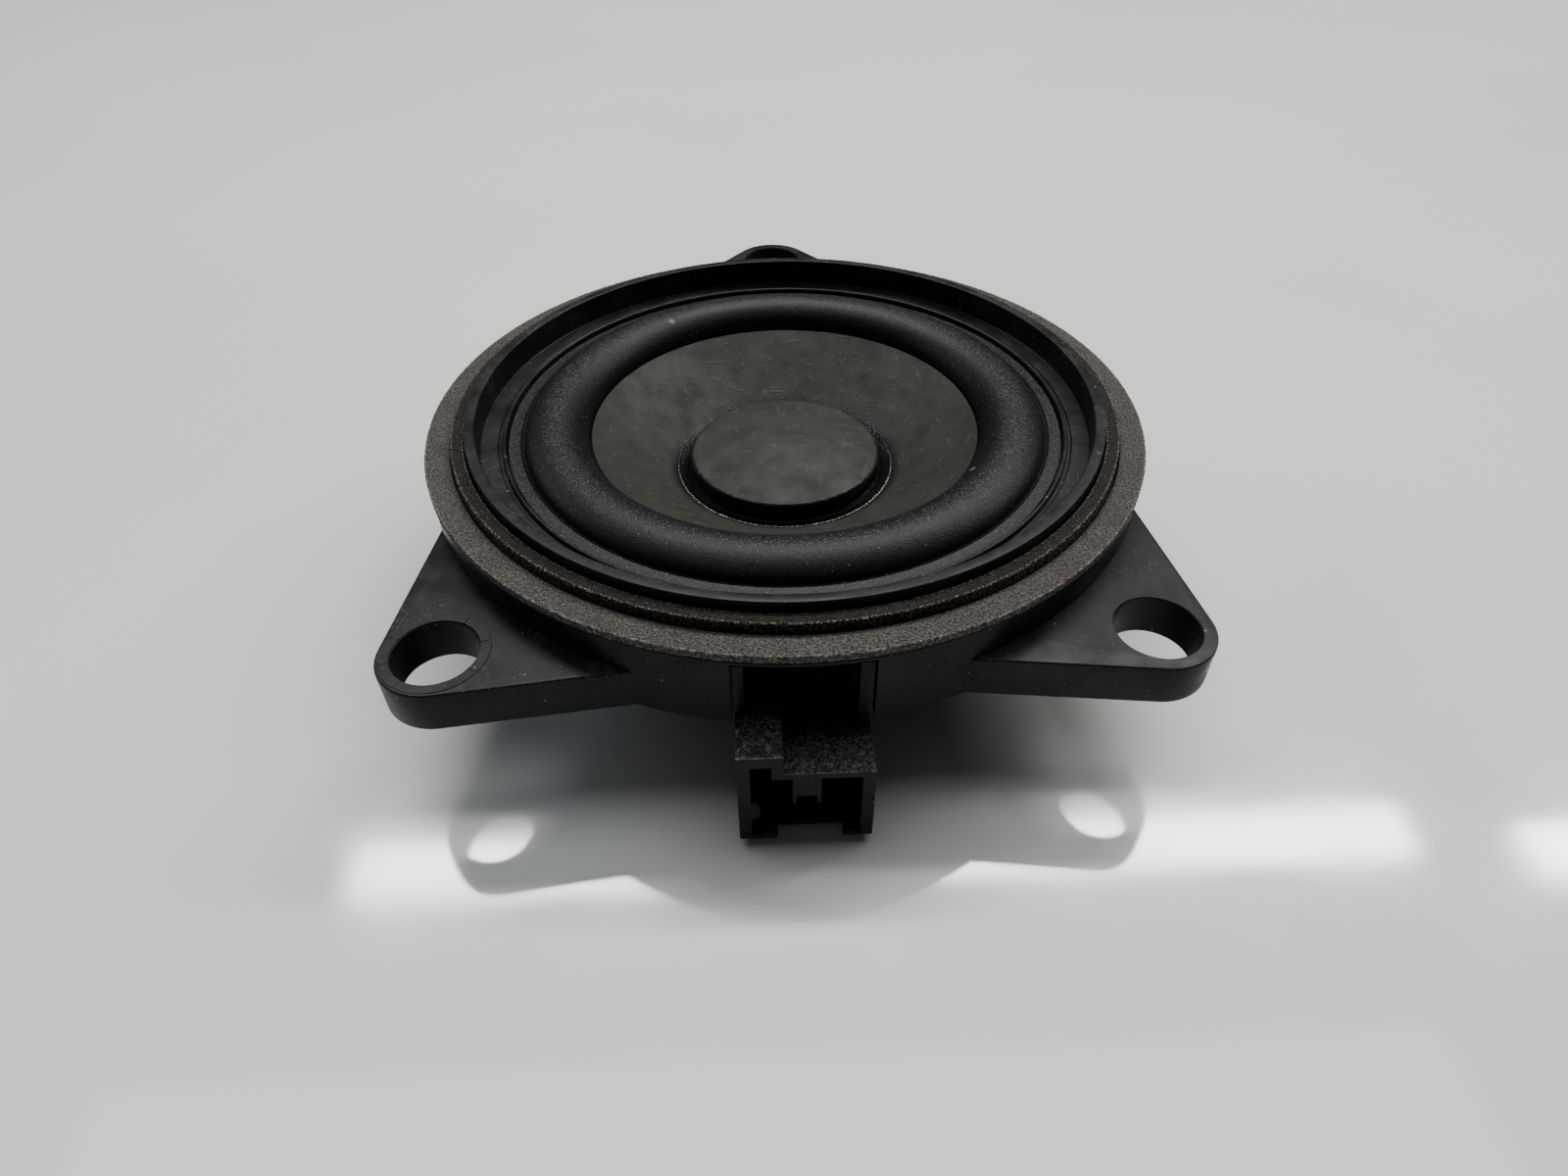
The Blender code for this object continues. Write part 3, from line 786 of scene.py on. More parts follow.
@dataclass(frozen=True)
class PressedPulp:
    """Pressed paper pulp: mottled, short fibres both ways, fine tooth."""

    dark: Triple = (0.0168, 0.0185, 0.0153)
    light: Triple = (0.0268, 0.0289, 0.0239)
    fibre: Triple = (0.075, 0.078, 0.068)
    black: Triple = (0.0025, 0.0025, 0.0028)
    roughness: float = 0.56
    darkened_radii: Pair = (0.0181, 0.0164)

    def build(self, name: str) -> Material:
        """Make the material.

        Args:
            name: The material's name.

        Returns:
            The material.
        """
        mix = Recipe(name, self.dark, self.roughness)
        mix.gloss(0.16)
        mottle = mix.noise(0.0042, 6)
        shade = mix.blend(mix.ramp(mottle, 0.34, 0.66), self.dark, self.light)
        along = mix.noise(0.0011, 3, (0.25, 1.0, 1.0))
        across = mix.noise(0.0011, 3, (1.0, 0.25, 1.0))
        hairs = mix.work("MAXIMUM", mix.ramp(along, 0.62, 0.7), mix.ramp(across, 0.62, 0.7))
        shade = mix.blend(mix.times(hairs, 0.22), shade, self.fibre)
        dots = mix.times(mix.specks(0.00016, 0.0018, 0.4), 0.5)
        shade = mix.blend(dots, shade, (0.16, 0.16, 0.14))
        # Black and glossier by distance from the axis: near the neck on the cone, on the wall and flange on
        # the cap.
        darkening = mix.ramp(mix.radius(), *self.darkened_radii)
        mix.colour(mix.blend(mix.times(darkening, 0.93), shade, self.black))
        dull = mix.ramp(mottle, 0.3, 0.7, (self.roughness + 0.08, self.roughness - 0.1))
        mix.rough(mix.work("SUBTRACT", dull, mix.times(darkening, 0.28)))
        mix.relief((mix.noise(0.00025, 4), 0.00007), (hairs, 0.00003))
        return mix.material


@dataclass(frozen=True)
class MouldedRubber:
    """Satin rubber with a fine grain, painted sparkle highlights where it faces straight up, and dried
    droplets.
    """

    colour: Triple = (0.0042, 0.0038, 0.0045)
    bloom: Triple = (0.075, 0.068, 0.070)
    roughness: float = 0.42
    sheen: float = 0.15

    def build(self, name: str) -> Material:
        """Make the material.

        Args:
            name: The material's name.

        Returns:
            The material.
        """
        mix = Recipe(name, self.colour, self.roughness)
        mix.gloss(self.sheen)
        grain = mix.noise(0.00024, 3)
        # Painted sparkle highlights: light grain on faces that point straight up, for the glints off the
        # roll's crest.
        painted_sparkle = mix.times(mix.ramp(grain, 0.56, 0.66), mix.upward(0.9, 0.995))
        haze = mix.times(mix.upward(0.5, 1.0), mix.ramp(mix.noise(0.0009, 6), 0.4, 0.75))
        shade = mix.blend(mix.times(haze, 0.1), self.colour, self.bloom)
        shade = mix.blend(mix.times(painted_sparkle, 0.5), shade, [2 * c for c in self.bloom])
        dots = mix.times(mix.specks(0.00011, 0.0010, 0.5), 0.6)
        shade = mix.blend(dots, shade, (0.26, 0.24, 0.23))
        shade = mix.blend(mix.times(mix.streaks(0.0016, 0.00006, 0.7), 0.3), shade, self.bloom)
        drops = mix.times(mix.specks(0.0007, 0.006, 0.22), 0.8)
        mix.colour(mix.blend(drops, shade, (0.17, 0.15, 0.13)))
        mix.rough(mix.ramp(grain, 0.3, 0.7, (self.roughness - 0.1, self.roughness + 0.12)))
        mix.relief((grain, 0.00006), (mix.noise(0.002, 3), 0.00003), (drops, 0.00006))
        return mix.material


@dataclass(frozen=True)
class TurnedSteel:
    """Plated steel with the fine rings of turning, handling marks and a dull bloom."""

    colour: Triple = (0.46, 0.47, 0.49)
    dull: Triple = (0.27, 0.27, 0.26)
    roughness: float = 0.3
    ring: float = 0.00022

    def build(self, name: str) -> Material:
        """Make the material.

        Args:
            name: The material's name.

        Returns:
            The material.
        """
        mix = Recipe(name, self.colour, self.roughness, 1.0)
        wave = mix.work("SINE", mix.times(mix.radius(), math.tau / self.ring))
        bloom = mix.noise(0.0035, 5)
        spots = mix.times(mix.specks(0.00025, 0.003, 0.3), 0.6)
        shade = mix.blend(mix.ramp(bloom, 0.4, 0.68), self.colour, self.dull)
        mix.colour(mix.blend(spots, shade, (0.12, 0.10, 0.08)))
        mix.rough(mix.ramp(bloom, 0.35, 0.7, (self.roughness, self.roughness + 0.22)))
        mix.relief((wave, 0.0000035), (mix.noise(0.0009, 4), 0.000012))
        return mix.material


@dataclass(frozen=True)
class WovenCloth:
    """Resin-stiffened cloth with a plain weave."""

    dark: Triple = (0.20, 0.105, 0.028)
    light: Triple = (0.50, 0.32, 0.11)
    pitch: float = 0.00042

    def build(self, name: str) -> Material:
        """Make the material.

        Args:
            name: The material's name.

        Returns:
            The material.
        """
        mix = Recipe(name, self.light, 0.72)
        place = mix.split(mix.place)
        warp = mix.work("SINE", mix.times(place.outputs["X"], math.tau / self.pitch))
        weft = mix.work("SINE", mix.times(place.outputs["Y"], math.tau / self.pitch))
        weave = mix.ramp(mix.times(warp, weft), -1.0, 1.0)
        darkening = mix.noise(0.003, 4)
        shade = mix.blend(weave, self.dark, self.light)
        mix.colour(mix.blend(mix.times(mix.ramp(darkening, 0.4, 0.7), 0.4), shade, self.dark))
        mix.relief((weave, 0.00006), (mix.noise(0.0001, 2), 0.00001))
        return mix.material


@dataclass(frozen=True)
class BareMetal:
    """Small plated or wound metal part: slight tarnish and drawn lines."""

    colour: Triple
    tarnish: Triple
    roughness: float = 0.28
    line: float = 0.0002

    def build(self, name: str) -> Material:
        """Make the material.

        Args:
            name: The material's name.

        Returns:
            The material.
        """
        mix = Recipe(name, self.colour, self.roughness, 1.0)
        bloom = mix.noise(0.0012, 5)
        mix.colour(mix.blend(mix.ramp(bloom, 0.42, 0.72), self.colour, self.tarnish))
        mix.rough(mix.ramp(bloom, 0.3, 0.7, (self.roughness, self.roughness + 0.2)))
        place = mix.split(mix.place)
        lines = mix.work("SINE", mix.times(place.outputs["Z"], math.tau / self.line))
        mix.relief((lines, 0.000012), (mix.noise(0.0003, 3), 0.000008))
        return mix.material


@dataclass(frozen=True)
class AmberFilm:
    """Polyimide film: glossy amber with faint wrinkles."""

    colour: Triple = (0.30, 0.12, 0.02)
    roughness: float = 0.22

    def build(self, name: str) -> Material:
        """Make the material.

        Args:
            name: The material's name.

        Returns:
            The material.
        """
        mix = Recipe(name, self.colour, self.roughness)
        clouds = mix.noise(0.003, 4)
        mix.colour(mix.blend(clouds, self.colour, (0.45, 0.22, 0.05)))
        mix.rough(mix.ramp(clouds, 0.3, 0.7, (self.roughness, self.roughness + 0.15)))
        mix.relief((mix.noise(0.002, 3), 0.00002))
        return mix.material


@dataclass(frozen=True)
class TableTop:
    """Pale glossy laminate."""

    colour: Triple = (0.66, 0.67, 0.66)
    roughness: float = 0.06

    def build(self, name: str) -> Material:
        """Make the material.

        Args:
            name: The material's name.

        Returns:
            The material.
        """
        mix = Recipe(name, self.colour, self.roughness)
        clouds = mix.noise(0.12, 4)
        mix.colour(mix.blend(mix.ramp(clouds, 0.3, 0.7), self.colour, [c * 0.95 for c in self.colour]))
        mix.rough(mix.ramp(mix.noise(0.02, 5), 0.3, 0.7, (self.roughness, self.roughness + 0.05)))
        return mix.material


# --- the moulded basket -------------------------------------------------------------------
@dataclass
class Ear:
    """Screw ear: straight sides that run tangent into a round tip, cored out from below."""

    angle: float
    top: float
    drum_r: float = 0.0518
    low: float = 0.0154
    reach: float = 0.0098
    spread: float = 22.5
    tip_r: float = 0.00705
    hole_r: float = 0.00525
    wall: float = 0.0018
    skin: float = 0.0020
    rounding: float = 0.00022
    countersink: float = 0.00012
    overrun: float = 0.002

    def outline(self, inset: float, root_r: float, z: float) -> list[Triple]:
        """Corners of the ear along +X.

        Args:
            inset: How far the outline is moved inwards.
            root_r: Where the sides end near the axis.
            z: Its height.

        Returns:
            The corners.
        """
        spread = math.radians(self.spread)
        root = Vector((self.drum_r * math.cos(spread), self.drum_r * math.sin(spread)))
        hole = Vector((self.drum_r + self.reach, 0.0))
        to_tip = hole - root
        side = math.atan2(to_tip.y, to_tip.x) + math.asin(self.tip_r / to_tip.length)
        normal = math.degrees(side) + 90
        tip = arc(hole, self.tip_r - inset, -normal, normal, 20)
        start = root - Vector((math.cos(math.radians(normal)), math.sin(math.radians(normal)))) * inset
        base = start - Vector((math.cos(side), math.sin(side))) * (start.x - root_r) / math.cos(side)
        return [(base.x, -base.y, z), *[(p.x, p.y, z) for p in tip], (base.x, base.y, z)]

    def place(self, obj: Piece) -> Piece:
        """Move a shape drawn about the Z axis out to the hole's centre, at the ear's angle."""
        obj.matrix_world = Matrix.Translation((self.drum_r + self.reach, 0, 0)) @ obj.matrix_world
        return swing(settle(obj, obj.name), self.angle)

    def body(self) -> Piece:
        """Build the ear before its hole is cut.

        Returns:
            The solid, standing at its angle.
        """
        root_r = self.drum_r * math.cos(math.radians(self.spread)) - 2 * self.overrun
        height = self.top - self.low
        ear = extrude("ear", self.outline(0.0, root_r, self.low), (0, 0, height))
        return swing(soften(ear, self.rounding, 3), self.angle)

    def core(self) -> Piece:
        """Build the cutter that hollows the ear and leaves a boss about the hole.

        Returns:
            The cutter, standing at its angle.
        """
        start = self.low - self.overrun
        depth = self.top - self.skin - start
        root_r = self.drum_r + self.wall / 2
        core = extrude("ear_core", self.outline(self.wall, root_r, start), (0, 0, depth))
        boss = self.column("ear_boss", self.tip_r, self.tip_r, 64)
        swing(core, self.angle)
        return fuse(core, boss, Fuse.CUT)

    def column(self, name: str, radius: float, mouth_r: float, steps: int) -> Piece:
        """Build an upright solid on the hole's centre line.

        Args:
            name: The solid's name.
            radius: Its radius.
            mouth_r: Its radius at the ear's front and back faces.
            steps: How many facets go round.

        Returns:
            The solid, standing at its place.
        """
        flare = mouth_r - radius
        ends = (self.low - 2 * self.overrun, self.top + self.overrun)
        outline = [(0, ends[0]), (mouth_r, ends[0]), (mouth_r, self.low),
                   (radius, self.low + flare + HAIR), (radius, self.top - flare - HAIR),
                   (mouth_r, self.top), (mouth_r, ends[1]), (0, ends[1])]
        return self.place(turn(name, outline, steps))

    def hole(self) -> Piece:
        """Build the cutter for the screw hole, flared at both faces."""
        return self.column("ear_hole", self.hole_r, self.hole_r + self.countersink, 72)


@dataclass
class Basket:
    """Moulded drum, arms, motor seat and three ears in one piece."""

    drum_r: float = 0.0518
    face_z: float = 0.0257
    skirt_z: float = 0.0154
    skirt_wall: float = 0.0022
    plate_z: float = 0.0228
    lip: Pair = (0.0446, 0.0461)
    lip_top: float = 0.02975
    bead_r: float = 0.0412
    bead: float = 0.0003
    bead_top: float = 0.0262
    groove: float = 0.00022
    ledge_r: float = 0.0384
    ledge_z: float = 0.02455
    rounding: float = 0.00018
    arms: int = 6
    arm_w: float = 0.005
    arm_h: float = 0.003
    arm_foot: Pair = (0.02645, 0.0077)
    seat_r: Pair = (0.0177, 0.0200)
    seat_z: float = 0.0035
    shoulder: Pair = (0.0165, 0.0089)
    landing_r: Pair = (0.02405, 0.02725)
    landing_z: float = 0.0114
    landing_floor: float = 0.0093
    window_x: Pair = (-0.00835, 0.0088)
    window_top: float = 0.0252
    pad_rim: float = 0.0014
    pad_rise: float = 0.00009
    pad_root: float = 0.0008
    flash_half: float = 0.00007
    flash_rise: float = 0.00006
    flash_angles: tuple[float, ...] = (12, 68, 103, 151, 197, 238, 290, 331)
    ears: tuple[Ear, ...] = (Ear(-135.0, 0.02125), Ear(-45.0, 0.02125), Ear(90.0, 0.02285))

    def drum(self) -> Piece:
        """Turn the drum wall, gasket face, lip, shelf, bead and ledge.

        Returns:
            The drum.
        """
        soft = self.rounding
        r, face, top = self.drum_r, self.face_z, self.lip_top
        lip_in, lip_out = self.lip
        inner = r - self.skirt_wall
        bead_in, bead_out = self.bead_r - self.bead, self.bead_r + self.bead
        crown = arc((self.bead_r, self.bead_top - self.bead), self.bead, 0, 180, 10)
        outline = [
            (r - soft, self.skirt_z), *arc((r - soft, self.skirt_z + soft), soft, -60, 0, 2),
            *arc((r - soft, face - soft), soft, 0, 90, 3), (lip_out + soft, face),
            *[(p.x, p.y) for p in arc((lip_out + soft, face + soft), soft, 270, 180, 2)],
            *arc((lip_out - 0.7 * soft, top - 0.7 * soft), 0.7 * soft, 0, 90, 4),
            *arc((lip_in + soft, top - soft), soft, 90, 180, 4),
            *arc((lip_in - soft, face + soft), soft, 0, -90, 3),
            (bead_out + 3 * self.groove, face), (bead_out + 2 * self.groove, face - self.groove),
            (bead_out, face - self.groove), *crown, (bead_in, self.ledge_z), (self.ledge_r, self.ledge_z),
            (self.ledge_r, self.plate_z), (inner, self.plate_z), (inner, self.skirt_z + soft),
            (inner + soft, self.skirt_z),
        ]
        return turn("basket", outline, 288)

    def seat(self) -> Piece:
        """Turn the ring that grips the motor and carries the spider's landing.

        Returns:
            The seat.
        """
        inner, outer = self.seat_r
        land_in, land_out = self.landing_r
        shoulder_r, shoulder_z = self.shoulder
        under = self.landing_floor - 0.0019
        soft = self.rounding
        outline = [
            (inner, self.seat_z + soft), (inner + soft, self.seat_z), (outer - soft, self.seat_z),
            (outer, self.seat_z + soft), (outer, under - GAP), (land_out - GAP, under),
            (land_out, self.landing_z - GAP), *arc((land_out - soft, self.landing_z - soft), soft, 0, 90, 3),
            *arc((land_in + soft, self.landing_z - soft), soft, 90, 180, 3), (land_in, self.landing_floor),
            (shoulder_r, shoulder_z + 0.0006), (shoulder_r, shoulder_z), (inner, shoulder_z),
        ]
        return turn("motor_seat", outline, 144)

    def arm(self) -> Piece:
        """Build one straight arm along +X, with rounded edges.

        Returns:
            The arm.
        """
        foot_r, foot_z = self.arm_foot
        end_r = self.drum_r - self.skirt_wall / 2
        half = self.arm_w / 2
        side = [(foot_r, foot_z), (end_r, self.skirt_z), (end_r, self.skirt_z + self.arm_h),
                (foot_r, foot_z + self.arm_h)]
        arm = extrude("arm", [(r, -half, z) for r, z in side], (0, self.arm_w, 0))
        return soften(arm, 2.5 * self.rounding, 3)

    def pad(self) -> list[Piece]:
        """Turn the low round pad of the first ear, and the thin flash lines that cross it.

        Returns:
            The pad and the lines, standing at their places.
        """
        ear = self.ears[0]
        outer, top, low = ear.hole_r + self.pad_rim, ear.top + self.pad_rise, ear.top - self.pad_root
        soft = 0.00004
        outline = [(0, low), (outer, low), (outer, top - soft), (outer - soft, top), (0, top)]
        pad = turn("ear_pad", outline, 72)
        line = block("flash_line", (ear.hole_r - GAP, -self.flash_half, low),
                     (outer - GAP / 3, self.flash_half, top + self.flash_rise))
        lines = [copy_round(line, turned) for turned in self.flash_angles]
        bpy.data.objects.remove(line, do_unlink=True)
        return [ear.place(piece) for piece in (pad, *lines)]

    def window(self) -> Piece:
        """Build the cutter for the slot that the socket's rails stand in."""
        low, high = self.window_x
        return block("window", (low, -self.drum_r - 0.002, self.skirt_z - 0.002),
                     (high - GAP, -self.lip[1] - 0.0008, self.window_top))

    def build(self, plastic: Material) -> None:
        """Make the basket and dress it.

        Args:
            plastic: Its finish.
        """
        basket = self.drum()
        arm = self.arm()
        arms = [arm] + [copy_round(arm, 360 / self.arms * i) for i in range(1, self.arms)]
        bodies = [ear.body() for ear in self.ears]
        inside_r = self.drum_r - self.skirt_wall / 2
        for ear in bodies:
            root = turn("ear_root", [(0, 0), (inside_r, 0), (inside_r, 0.04), (0, 0.04)], 288)
            fuse(ear, root, Fuse.CUT)
        for piece in (*arms, self.seat(), *bodies, *self.pad()):
            fuse(basket, piece, Fuse.JOIN)
        for ear in self.ears:
            fuse(basket, ear.core(), Fuse.CUT)
            fuse(basket, ear.hole(), Fuse.CUT)
        fuse(basket, self.window(), Fuse.CUT)
        dress(settle(basket, "basket_moulding"), plastic, "basket_plastic", FIXED, ["basket"])


# --- foam gaskets -------------------------------------------------------------------------
@dataclass
class Gasket:
    """Foam ring with a cut edge that the knife has left uneven."""

    name: str
    r_in: float
    r_out: float
    low: float
    high: float
    step: float = 0.00032
    depth: float = 0.00011
    grain: float = 0.0007

    def build(self, foam: Material, slot: str, node: str) -> None:
        """Make the ring and dress it.

        Args:
            foam: Its finish.
            slot: The record's material slot.
            node: The CAD node that it stands for.
        """
        soft = 0.0001
        corners = [(self.r_in, self.low), (self.r_out, self.low), (self.r_out, self.high - soft),
                   (self.r_out - soft, self.high), (self.r_in + soft, self.high),
                   (self.r_in, self.high - soft)]
        outline = []
        for here, there in zip(corners, corners[1:] + corners[:1]):
            a, b = Vector(here), Vector(there)
            count = max(round((b - a).length / self.step), 1)
            outline += [a.lerp(b, i / count) for i in range(count)]
        ring = turn(self.name, outline, round(math.tau * self.r_out / self.step / 1.6))
        roughen(ring, self.depth, self.grain)
        roughen(ring, self.depth / 2, self.grain / 2)
        dress(ring, foam, slot, FIXED, [node])


@dataclass
class Lint:
    """Short fibres pulled from the cut edge of the foam."""

    radius: float = 0.0519
    high: float = 0.0269
    length: float = 0.0011
    thick: float = 0.00003
    count: int = 44
    golden_angle: float = 137.508

    def build(self, foam: Material) -> None:
        """Make the fibres round the ring, join them and dress them.

        Args:
            foam: The finish of the foam that they come from.
        """
        fibres = []
        for i in range(self.count):
            reach = self.length * (0.4 + 0.6 * math.sin(i * 2.3) ** 2)
            lean = math.sin(i * 4.1)
            path = [(self.radius - 0.0002, 0, self.high - 0.0001),
                    (self.radius + 0.00004, lean * reach * 0.2, self.high),
                    (self.radius + 0.00009, lean * reach * 0.6, self.high - reach * 0.35),
                    (self.radius + 0.00008, lean * reach, self.high - reach * 0.8)]
            fibres.append(swing(thread(f"fibre_{i}", path, self.thick, 0), i * self.golden_angle))
        tuft = gather(fibres, "gasket_lint")
        dress(tuft, foam, "outer_foam", FIXED)


# --- cone and its suspension --------------------------------------------------------------
@dataclass
class Diaphragm:
    """Pulp cone, cup-shaped cap and rubber half-roll, and the spider behind them."""

    neck: Pair = (0.0133, 0.0148)
    rim: Pair = (0.0289, 0.02415)
    thickness: float = 0.0005
    roll_h: float = 0.0030
    foot_r: float = 0.0382
    flange_z: float = 0.02515
    flange_r: float = 0.0406
    rubber_t: float = 0.0006
    glue_w: float = 0.0017
    cap_r: float = 0.01435
    cap_t: float = 0.0004
    cap_wall: float = 0.0024
    cap_crown: float = 0.0020
    cap_flange: float = 0.00195
    spider_r: Pair = (0.01305, 0.02695)
    waves_end: float = 0.02405
    spider_z: float = 0.0119
    spider_t: float = 0.0004
    wave: float = 0.00045
    waves: int = 3

    def tilt(self) -> float:
        """Angle of the cone's side above level."""
        return math.atan2(self.rim[1] - self.neck[1], self.rim[0] - self.neck[0])

    def side(self, radius: float, offset: float = 0.0) -> Vector:
        """Point (r, z) on the cone's middle surface.

        Args:
            radius: Distance from the axis.
            offset: How far the point is moved square to the surface.

        Returns:
            The point.
        """
        tilt = self.tilt()
        height = self.neck[1] + (radius - self.neck[0]) * math.tan(tilt)
        return Vector((radius, height)) + offset * Vector((-math.sin(tilt), math.cos(tilt)))

    def cone(self, pulp: Material) -> None:
        """Turn the cone and dress it.

        Args:
            pulp: Its finish.
        """
        steps = 36
        span = self.rim[0] - self.neck[0]
        middle = [self.side(self.neck[0] + span * i / steps) for i in range(steps + 1)]
        cone = turn("pulp_cone", strip(middle, self.thickness), 360)
        roughen(cone, 0.00005, 0.0012)
        dress(cone, pulp, "cone_paper", MOVING, ["cone"])

    def cap(self, cloth: Material, glue: Material) -> None:
        """Turn the cap and the bead of adhesive round its flange, and dress them.

        Args:
            cloth: The cap's finish.
            glue: The adhesive's finish.
        """
        seat = self.thickness / 2 + GAP + self.cap_t / 2
        lean = seat * math.sin(self.tilt())
        flange = self.side(self.cap_r + self.cap_flange + lean, seat)
        foot = self.side(self.cap_r + self.cap_t + lean, seat)
        wall_z = foot.y + self.cap_wall
        radius = (self.cap_r ** 2 + self.cap_crown ** 2) / (2 * self.cap_crown)
        edge = math.asin(self.cap_r / radius)
        soft = 0.0005
        corner = arc((self.cap_r - soft, wall_z - soft + 0.00022), soft, 0, 72, 6)
        crown, steps = [], 26
        for i in range(1, steps + 1):
            angle = edge * (1 - i / steps)
            out = radius * math.sin(angle)
            if out < corner[-1].x - 0.0002:
                drop = radius * (1 - math.cos(angle))
                crown.append((out, wall_z + self.cap_crown - drop))
        middle = [flange, flange.lerp(foot, 0.5), foot, (self.cap_r, foot.y + self.cap_t),
                  (self.cap_r, (foot.y + wall_z) / 2), *corner, *crown]
        outline = [(0.0 if p.x < 2e-5 else p.x, p.y) for p in strip(middle, self.cap_t)]
        cap = turn("pressed_cap", outline, 288)
        roughen(cap, 0.00004, 0.0016)
        dress(cap, cloth, "cap_cloth", MOVING, ["dust_cap"])
        film = self.thickness / 2 + 0.00003
        low = self.side(flange.x + 0.00042, film)
        back = self.side(flange.x - 0.0002, film)
        top = self.side(flange.x + 0.00004, seat + 0.00006)
        bead = turn("cap_glue", [back, low, low.lerp(top, 0.5) - Vector((0.00004, 0.00008)), top], 288)
        dress(bead, glue, "cap_cloth", MOVING)

    def surround(self, rubber: Material) -> None:
        """Turn the half-roll with the fine ribs at its foot, and dress it.

        Args:
            rubber: Its finish.
        """
        offset = -(self.thickness / 2 + GAP + self.rubber_t / 2)
        inner = self.side(self.rim[0] - self.glue_w, offset)
        start = self.side(self.rim[0], offset)
        centre, half = (start.x + self.foot_r) / 2, (self.foot_r - start.x) / 2
        steps = 40
        roll = []
        for i in range(steps + 1):
            share = i / steps
            angle = math.pi * (1 - share)
            base = start.y * (1 - share) + self.flange_z * share
            crest = self.roll_h - GAP + (self.flange_z - base)
            roll.append((centre + half * math.cos(angle), base + crest * math.sin(angle)))
        rib = 0.00009
        rises = ((0.00022, -0.5), (0.00040, 1), (0.00060, -1), (0.00080, 1), (0.00105, 0))
        ribs = [(self.foot_r + out, self.flange_z + up * rib) for out, up in rises]
        middle = [inner, inner.lerp(start, 0.5), *roll, *ribs, (self.flange_r, self.flange_z)]
        ring = turn("rubber_surround", strip(middle, self.rubber_t), 360)
        dress(ring, rubber, "surround_rubber", None, ["surround"])
        fixed_r, moving_r = self.foot_r - 0.0002, start.x + 0.0001
        stretch_between(ring, lambda co: 1 - ease(math.hypot(co.x, co.y), moving_r, fixed_r))

    def spider(self, cloth: Material) -> None:
        """Turn the corrugated disc and dress it.

        Args:
            cloth: Its finish.
        """
        inner, outer = self.spider_r
        wave_in, wave_out = inner + 2 * self.spider_t, self.waves_end
        steps = self.waves * 16
        middle = [(inner, self.spider_z)]
        for i in range(steps + 1):
            share = i / steps
            height = self.wave * math.sin(math.tau * self.waves * share)
            middle.append((wave_in + (wave_out - wave_in) * share, self.spider_z + height))
        middle.append((outer, self.spider_z))
        disc = turn("corrugated_spider", strip(middle, self.spider_t), 240)
        dress(disc, cloth, "spider_cloth", None, ["spider"])
        stretch_between(disc, lambda co: 1 - ease(math.hypot(co.x, co.y), wave_in, wave_out))


